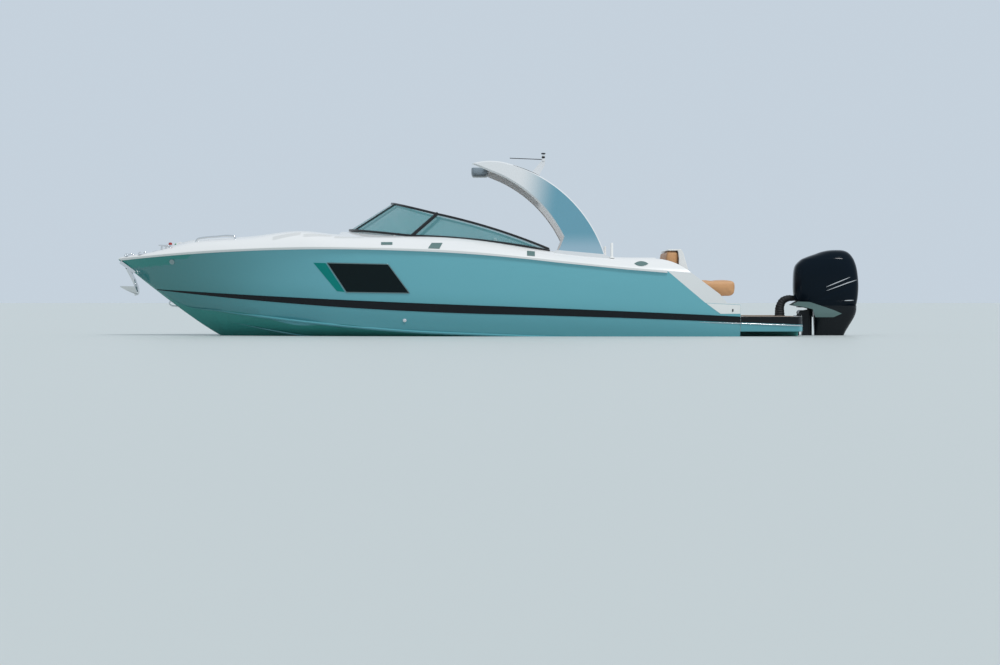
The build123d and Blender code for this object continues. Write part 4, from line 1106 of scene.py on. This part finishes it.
def makeDash(s):
    # dials, screen and switches are low stacks that stand on the sloping face
    up = unit(facePoint(s, 1, 0, 0) - facePoint(s, 0, 0, 0))
    across = np.array(starboard, float)
    out = unit(np.cross(across, up))
    top = s["panelProud"]
    bezels, faces, ticks, keys = [], [], [], []
    for share, y, r in s["gauges"]:
        at = facePoint(s, share, top, s["y"] + y)
        rim = [(1.0, 0.0), (1.0, 0.004), (0.94, 0.007), (0.86, 0.007), (0.83, 0.004), (0.80, 0.001)]
        bezels.append(stack(at, across, up, (r, r), rim))
        faces.append(stack(at, across, up, (r, r), [(0.82, 0.0005), (0.82, 0.003), (0.4, 0.0034)]))
        for turn in np.linspace(-2.2, 2.2, 9):
            way = math.sin(turn) * across + math.cos(turn) * up
            place = at + way * r * 0.68 + out * 0.0036
            ticks.append(stack(place, np.cross(way, out), way, (0.0006, 0.0032), [(1.0, -0.0004), (1.0, 0.0003)], 8.0, 8))
    at = facePoint(s, s["screenShare"], top, s["y"] - s["screenY"])
    rim = [half + s["screenRim"] for half in s["screenHalf"]]
    bezels.append(stack(at, across, up, rim, [(1.0, 0.0), (1.0, 0.005), (0.96, 0.007)], 9.0, 64))
    faces.append(stack(at, across, up, s["screenHalf"], [(1.0, 0.006), (1.0, 0.0078), (0.97, 0.0082)], 14.0, 64))
    for k in range(s["switches"]):
        at = facePoint(s, s["switchShare"], top, s["y"] + s["switchY"] + k * s["switchPitch"])
        key = [(1.0, 0.0), (1.0, 0.003), (0.9, 0.0055 + 0.001 * (k % 2))]
        keys.append(stack(at, across, up, s["switchHalf"], key, 6.0, 24))
    addPiece("dash_bezels", bezels, "black_plastic")
    addPiece("dash_faces", faces, "black_plastic", (), "screen_face")
    addPiece("dash_ticks", ticks, "grey_plastic", (), "lamp_glass")
    addPiece("dash_switches", keys, "black_plastic")


wheel = {
    "centre": (-0.4661, 0.560, 1.1765), "axis": (0.8660, 0, 0.5), "radius": 0.180,
    "gripWide": 0.0125, "gripDeep": 0.0118, "bumps": 28, "spokes": (-90, 30, 150),
    # radius and height of the boss, from behind to the cap
    "boss": [(0.038, -0.049), (0.038, -0.040), (0.030, -0.030), (0.030, -0.016),
             (0.044, -0.008), (0.046, 0.004), (0.040, 0.011), (0.018, 0.0135)],
}


def makeWheel(s):
    # rim: circle with a swelling grip, r * (1 + 0.05 cos(n t)) round its lower half
    centre, axis = np.array(s["centre"]), unit(np.array(s["axis"]))
    side, up = np.array(starboard, float), np.cross(axis, starboard)
    t = np.linspace(0, 2 * math.pi, 224, endpoint=False)
    ring = centre + s["radius"] * (np.cos(t)[:, None] * side + np.sin(t)[:, None] * up)
    swell = 1 + 0.05 * np.cos(s["bumps"] * t) * (np.sin(t) < 0.3)
    rim = tube(ring, ovalProfile(s["gripWide"], s["gripDeep"], 16), axis, True, swell)
    reach = np.linspace(0.020, s["radius"] - 0.004, 24)
    dish = -0.016 * (1 - reach / reach[-1]) ** 1.5
    spokes = []
    for angle in np.radians(s["spokes"]):
        way = math.cos(angle) * side + math.sin(angle) * up
        path = centre + reach[:, None] * way + dish[:, None] * axis
        spokes.append(tube(path, ovalProfile(0.0135, 0.0032, 16, 3.0), axis, size=1.15 - 0.4 * reach / reach[-1]))
    slot, body = slots["steering_wheel"], "steering_wheel"
    addPiece("wheel_rim", [rim], slot, ["steering_wheel"], "wheel_wrap", body)
    addPiece("wheel_spokes", spokes, slot, (), "stainless", body)
    addPiece("wheel_boss", [stack(centre, side, up, (1, 1), s["boss"], 2.0, 40)], slot, (), "wheel_wrap", body)


makeDash(helmFace)
makeWheel(wheel)
print("helm: dials, screen, switches and wheel")

fittings = {
    "cupHolders": [(-0.745, 0.36, "helm_console"), (-0.745, 0.84, "helm_console"), (-0.745, -0.36, "companion_console")],
    "speakers": [(1.62, 0.70), (-0.15, 0.70)], "speakerRadius": 0.088,
    "posts": (1.998, 1.165, 1.195),  # x, y and the top's height
    "navLights": (-3.735, 0.335),
    "chocks": [(-4.310, 0.115), (-4.110, 0.262)], "horn": [(0.052, -0.006), (0.050, 0.012), (0.034, 0.026), (0.014, 0.024)],
    "filler": (1.75, 1.215),
    "nonSkid": [(-4.045, -3.62, 0.145, 0.245), (-3.585, -3.43, 0.02, 0.33)],
    "sideSkid": (-2.35, -1.95, -1.55), "skidThick": 0.0012,
    "handle": [(-0.535, -0.44, 1.075), (-0.500, -0.44, 1.092), (-0.496, -0.47, 1.094),
               (-0.496, -0.73, 1.094), (-0.500, -0.76, 1.092), (-0.535, -0.76, 1.075)],
}


def onDeck(x, y, node="deck"):
    # deck points at given x and y, met from above
    x, y = np.broadcast_arrays(np.asarray(x, float), np.asarray(y, float))
    return landOn(np.stack([x, y, np.full(x.shape, 1.9)], -1), node, 2)


def heightAt(x, y, node="deck"):
    return onDeck([x], [y], node)[0, 2]


def deckSeat(x, y, node="deck"):
    # a place on the deck with two directions in its surface, from three landed points
    a, b, c = onDeck([x, x + 0.02, x], [y, y, y + 0.02], node)
    return a, b - a, c - a


def deckPatch(lowX, highX, lowY, highY, thick, power=7.0):
    # rings of a superellipse laid on the deck: share 0..1 across, outer ring sunk to close the edge
    outline = ovalProfile((highX - lowX) / 2, (highY - lowY) / 2, 96, power)
    share = np.array([0.0, 0.25, 0.5, 0.75, 0.97, 1.0, 1.0])[:, None]
    grid = onDeck((lowX + highX) / 2 + share * outline[:, 0], (lowY + highY) / 2 + share * outline[:, 1])
    grid[..., 2] += np.array([thick, thick, thick, thick, thick, thick * 0.6, -0.003])[:, None]
    return withPoles(grid)[:-1], gridFaces(8, 96, False, True)


def makeCupHolders(s):
    # a rolled ring and a dark well in each console's top
    seats = [deckSeat(*at) for at in s["cupHolders"]]
    ring = [(1.0, -0.002), (1.0, 0.002), (0.93, 0.004), (0.84, 0.003), (0.82, -0.003)]
    well = [(1.0, -0.004), (1.0, 0.0042), (0.6, 0.0046)]
    addPiece("cup_rings", [stack(*seat, (0.045, 0.045), ring) for seat in seats], "stainless")
    addPiece("cup_wells", [stack(*seat, (0.038, 0.038), well) for seat in seats], "black_plastic")


def makeSpeakers(s):
    # flat cones behind a ring of slots: rows of radius and depth about an axis across the boat
    r, rings, cones = s["speakerRadius"], [], []
    rim = [(1.0, -0.002), (1.0, 0.006), (0.93, 0.011), (0.86, 0.010), (0.84, 0.004)]
    waves = [(c, 0.0065 + 0.0015 * (k % 2)) for k, c in enumerate(np.linspace(0.95, 0.25, 15))]
    for x, z in s["speakers"]:
        at = (x, landOn([[x, 0.9, z]], "hull", 1)[0, 1], z)
        rings.append(stack(at, astern, skyward, (r, r), rim))
        cones.append(stack(at, astern, skyward, (r * 0.85, r * 0.85), [(1.0, 0.003), *waves, (0.2, 0.012), (0.05, 0.013)]))
    addPiece("speaker_rings", mirrored(rings), "grey_plastic", (), "hull_white")
    addPiece("speaker_grilles", mirrored(cones), "black_plastic")


def makeDeckFittings(s):
    # stern posts, fairleads of two bent horns on a plate, bow lamps on stems and the filler cap
    x, y, top = s["posts"]
    base = heightAt(x, y)
    tall = top - base
    post = [(0.034, -0.004), (0.034, 0.006), (0.022, 0.012), (0.018, 0.03), (0.018, tall - 0.012), (0.014, tall)]
    addPiece("deck_posts", mirrored([disc((x, y, base), 1, post, 28)]), "deck_gelcoat", (), "hull_white")
    parts = []
    for x, y in s["chocks"]:
        z = heightAt(x, y)
        for side in (-1, 1):
            parts.append(bar([(x + side * out, y, z + up) for out, up in s["horn"]], 0.0065, 24))
        parts.append(stack((x, y, z), astern, starboard, (0.060, 0.016), [(1.0, -0.006), (1.0, 0.003), (0.9, 0.006)], 3.0))
    x, y = s["navLights"]
    z = heightAt(x, y)
    parts.append(disc((x, y, z), 0.024, [(1.0, -0.006), (1.0, 0.004), (0.5, 0.008), (0.38, 0.034)]))
    cap = [(1.0, -0.006), (1.0, 0.004), (0.92, 0.007), (0.5, 0.007), (0.45, 0.004), (0.2, 0.004)]
    filler = stack(*deckSeat(*s["filler"]), (0.042, 0.042), cap)
    addPiece("deck_chocks", mirrored(parts) + [filler], "stainless")
    lamp = [(0.5, 0.033), (1.0, 0.036), (1.0, 0.055), (0.8, 0.064), (0.3, 0.068)]
    for side, name in ((-1, "lamp_red"), (1, "lamp_green")):
        lens = stack((x, side * y, z), astern, starboard, (0.024, 0.015), lamp, 2.6)
        addPiece("bow_" + name, [lens], "grey_plastic", (), name)


def makeNonSkid(s):
    # patches on the foredeck, and along the side decks where they follow the coaming's slope
    patches = [deckPatch(*spans, s["skidThick"]) for spans in s["nonSkid"]]
    for x in s["sideSkid"]:
        y = 0.905 + 0.12 * (x + 2.35)
        patches.append(deckPatch(x, x + 0.36, y, 0.975 + 0.12 * (x + 2.35), s["skidThick"], 9.0))
    addPiece("non_skid_patches", mirrored(patches), "deck_gelcoat", (), "non_skid")


makeCupHolders(fittings)
makeSpeakers(fittings)
makeDeckFittings(fittings)
makeNonSkid(fittings)
addPiece("grab_handles", [bar(fittings["handle"], 0.010, 60, astern)], "stainless")
print("deck and cockpit fittings")

archTrim = {
    "lights": [(0.80, -0.45), (0.80, 0.45)], "lightRadius": 0.045,
    "lamp": (1.142, 0, 2.3303), "ball": [(0.012, 0.0), (0.021, 0.008), (0.0235, 0.016), (0.021, 0.026), (0.015, 0.031)],
    "lens": [(0.0155, 0.029), (0.0165, 0.033), (0.0165, 0.054), (0.0155, 0.058)],
    "cap": [(0.024, 0.056), (0.0285, 0.059), (0.0285, 0.068), (0.020, 0.0743)],
}


def makeArchTrim(s):
    # downlights under the roof, met from below, as low domes; the lamp is a ball, a lens and a cap
    dome = [(1.0, 0.004), (1.0, -0.004), (0.85, -0.008), (0.8, -0.006), (0.3, -0.009)]
    lights = [disc((x, y, heightAt(x, y, "arch_roof")), s["lightRadius"], dome) for x, y in s["lights"]]
    addPiece("roof_lights", lights, "grey_plastic", (), "lamp_glass")
    ball, lens, cap = (disc(s["lamp"], 1, s[part], 40) for part in ("ball", "lens", "cap"))
    addPiece("masthead_light", [ball, cap], slots["masthead_lamp"], ["masthead_lamp"], "black_plastic")
    addPiece("masthead_lens", [lens], slots["masthead_lamp"], (), "lamp_glass")


makeArchTrim(archTrim)
print("arch lights")

bowGear = {
    # fluke: tip, heel, half width at the heel and how far its edges curl up
    "tip": (-4.440, 0.645), "heel": (-4.195, 0.535), "fluke": 0.125, "curl": 0.105, "thick": 0.006,
    "shank": [(-4.338, 0, 0.893), (-4.318, 0, 0.850), (-4.275, 0, 0.770), (-4.238, 0, 0.690), (-4.214, 0, 0.610),
              (-4.215, 0, 0.560), (-4.250, 0, 0.550)],
    "hoop": [(-4.224, -0.116, 0.622), (-4.232, -0.092, 0.692), (-4.240, 0, 0.742), (-4.232, 0.092, 0.692),
             (-4.224, 0.116, 0.622)],
    "roller": (-4.345, 0.0205, 0.893), "rollerRadius": 0.020,
    "eye": [(-3.690, 0, 0.470), (-3.742, 0, 0.463), (-3.782, 0, 0.442), (-3.790, 0, 0.418), (-3.770, 0, 0.398),
            (-3.715, 0, 0.386), (-3.660, 0, 0.380)],
}


def makeAnchor(s):
    # fluke: half width grows as u^0.7 from tip to heel and the sheet curls up with v^2; shank and hoop are swept ovals
    u, v = np.meshgrid(np.linspace(0.0, 1, 28), np.linspace(-1, 1, 25), indexing="ij")
    (x0, z0), (x1, z1) = s["tip"], s["heel"]
    half = s["fluke"] * (0.02 + 0.98 * u**0.7)
    z = z0 + (z1 - z0) * u + s["curl"] * v**2 * u - 0.010 * (1 - v**2) * np.sin(math.pi * u)
    x = x0 + (x1 - x0) * u - 0.030 * v**2 * u
    parts = closedSheet(*(np.stack([x, half * v, z + thick], -1) for thick in (s["thick"], -s["thick"])))
    parts.append(tube(smoothPath(s["shank"], 60), ovalProfile(0.027, 0.011, 20, 4.0), starboard))
    parts.append(bar(s["hoop"], 0.0085, 60, astern, 14))
    addPiece("anchor_plough", parts, slots["anchor"], ["anchor"])
    rows = [(0.6, 0.0), (1.0, 0.0), (1.0, 0.010), (0.7, 0.0205), (1.0, 0.031), (1.0, 0.041), (0.6, 0.041)]
    addPiece("anchor_roller", [stack(s["roller"], astern, skyward, (s["rollerRadius"],) * 2, rows)], "black_plastic")
    addPiece("towing_eye", [bar(s["eye"], 0.0095, 60, starboard)], slots["bow_eye"], ["bow_eye"])


makeAnchor(bowGear)
print("anchor and towing eye")

boot = {
    "path": [(4.270, 0, 0.111), (4.260, 0, 0.190), (4.258, 0, 0.290), (4.264, 0, 0.385), (4.300, 0, 0.455),
             (4.365, 0, 0.487), (4.452, 0, 0.489)],
    "foot": 0.076, "head": 0.034, "folds": 17, "foldDepth": 0.045,
    "flange": 0.098,
}


def makeBoot(s):
    # a bellows: radius = (foot..head) * (1 + depth * cos(2 pi n t)) along a bent path, with a flange at its foot;
    # a quarter of its height is left when the outboard is tilted right up
    count = s["folds"] * 10
    t = np.linspace(0, 1, count)
    radius = s["foot"] + (s["head"] - s["foot"]) * t**1.2
    size = radius * (1 + s["foldDepth"] * np.cos(2 * math.pi * s["folds"] * t) * np.clip((0.97 - t) / 0.1, 0, 1))
    sleeve = tube(smoothPath(s["path"], count), ovalProfile(1.0, 1.0, 36), starboard, size=size)
    piece = addPiece("rigging_boot", [sleeve], slots["rigging_hose"], ["rigging_hose"])
    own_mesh(piece)
    rim = [(1.0, -0.0006), (1.0, 0.006), (0.93, 0.011), (0.80, 0.012)]
    addPiece("boot_flange", [disc(s["path"][0], s["flange"], rim, 48)], "black_plastic")


makeBoot(boot)
print("rigging boot")

bolsters = {"fore": 0.80, "aft": 2.05, "low": 0.862, "high": 0.982, "thick": 0.032, "foreWall": 1.038, "aftWall": 1.0445}


def makeBolsters(s):
    # a long pad on each cockpit side, its back laid on the liner
    for hand, label in ((1, "starboard"), (-1, "port")):
        corners = [[[(x, hand * wall, z), (x, hand * (wall - s["thick"]), z)] for z in (s["low"], s["high"])]
                   for x, wall in ((s["fore"], s["foreWall"]), (s["aft"], s["aftWall"]))]
        makePad("side_bolster_" + label, "boat", corners, radius=0.014, crown=0.006, pull=0.003, spacing=0.014,
                channels=[(0, -0.34), (0, 0.34)], groove=0.006, cap=0.006)


makeBolsters(bolsters)
print("side bolsters")

smallParts = {
    "groove": [(0.735, 0, 2.192), (0.88, 0, 2.142), (1.03, 0, 2.078), (1.17, 0, 2.004)], "grooveRadius": 0.0045,
    "pod": (0.305, 0, 2.20), "podHalf": (0.112, 0.24), "podDeep": 0.115,
    "latch": (-3.985, 0.0), "latchRadius": 0.034,
    "gateLatch": (3.009, 0.80, 0.80), "gateLatchHalf": (0.022, 0.040),
}


def makeSmallParts(s):
    # a dark seam on the legs' outer sides, a pod in painted blue-grey shade under the roof's nose, latches on the hatch
    # and the gate
    run = smoothPath(s["groove"], 60)
    path = onSide(run[:, 0], run[:, 2], 0.0005, "arch_legs")
    path = path[path[:, 1] < 1.5]  # points that missed the leg
    taper = np.sin(np.pi * np.linspace(0.03, 0.97, len(path))) ** 0.4
    r, deep = s["grooveRadius"], s["podDeep"]
    seam = tube(path, ovalProfile(r, r * 0.5, 12), starboard, size=taper)
    addPiece("arch_seams", mirrored([seam]), "grey_plastic", (), "seam_grey")
    rows = [(0.97, 0.0), (1.0, 0.02), (1.0, deep - 0.04), (0.94, deep - 0.012), (0.84, deep)]
    addPiece("roof_pod", [stack(s["pod"], astern, (0, -1, 0), s["podHalf"], rows, 5.0, 72)], "grey_plastic", (), "pod_grey")
    rows = [(1.0, -0.003), (1.0, 0.002), (0.9, 0.004), (0.62, 0.004), (0.58, 0.0015), (0.3, 0.0015)]
    latch = stack(*deckSeat(*s["latch"], "anchor_hatch"), (s["latchRadius"],) * 2, rows)
    addPiece("hatch_latch", [latch], "stainless", body="anchor_hatch")
    rows = [(1.0, -0.002), (1.0, 0.004), (0.85, 0.007), (0.3, 0.008)]
    latch = stack(s["gateLatch"], starboard, (0, 0, -1), s["gateLatchHalf"], rows, 3.0)
    addPiece("gate_latch", [latch], "stainless", body="transom_gate")


makeSmallParts(smallParts)
print("seams, pod and latches")
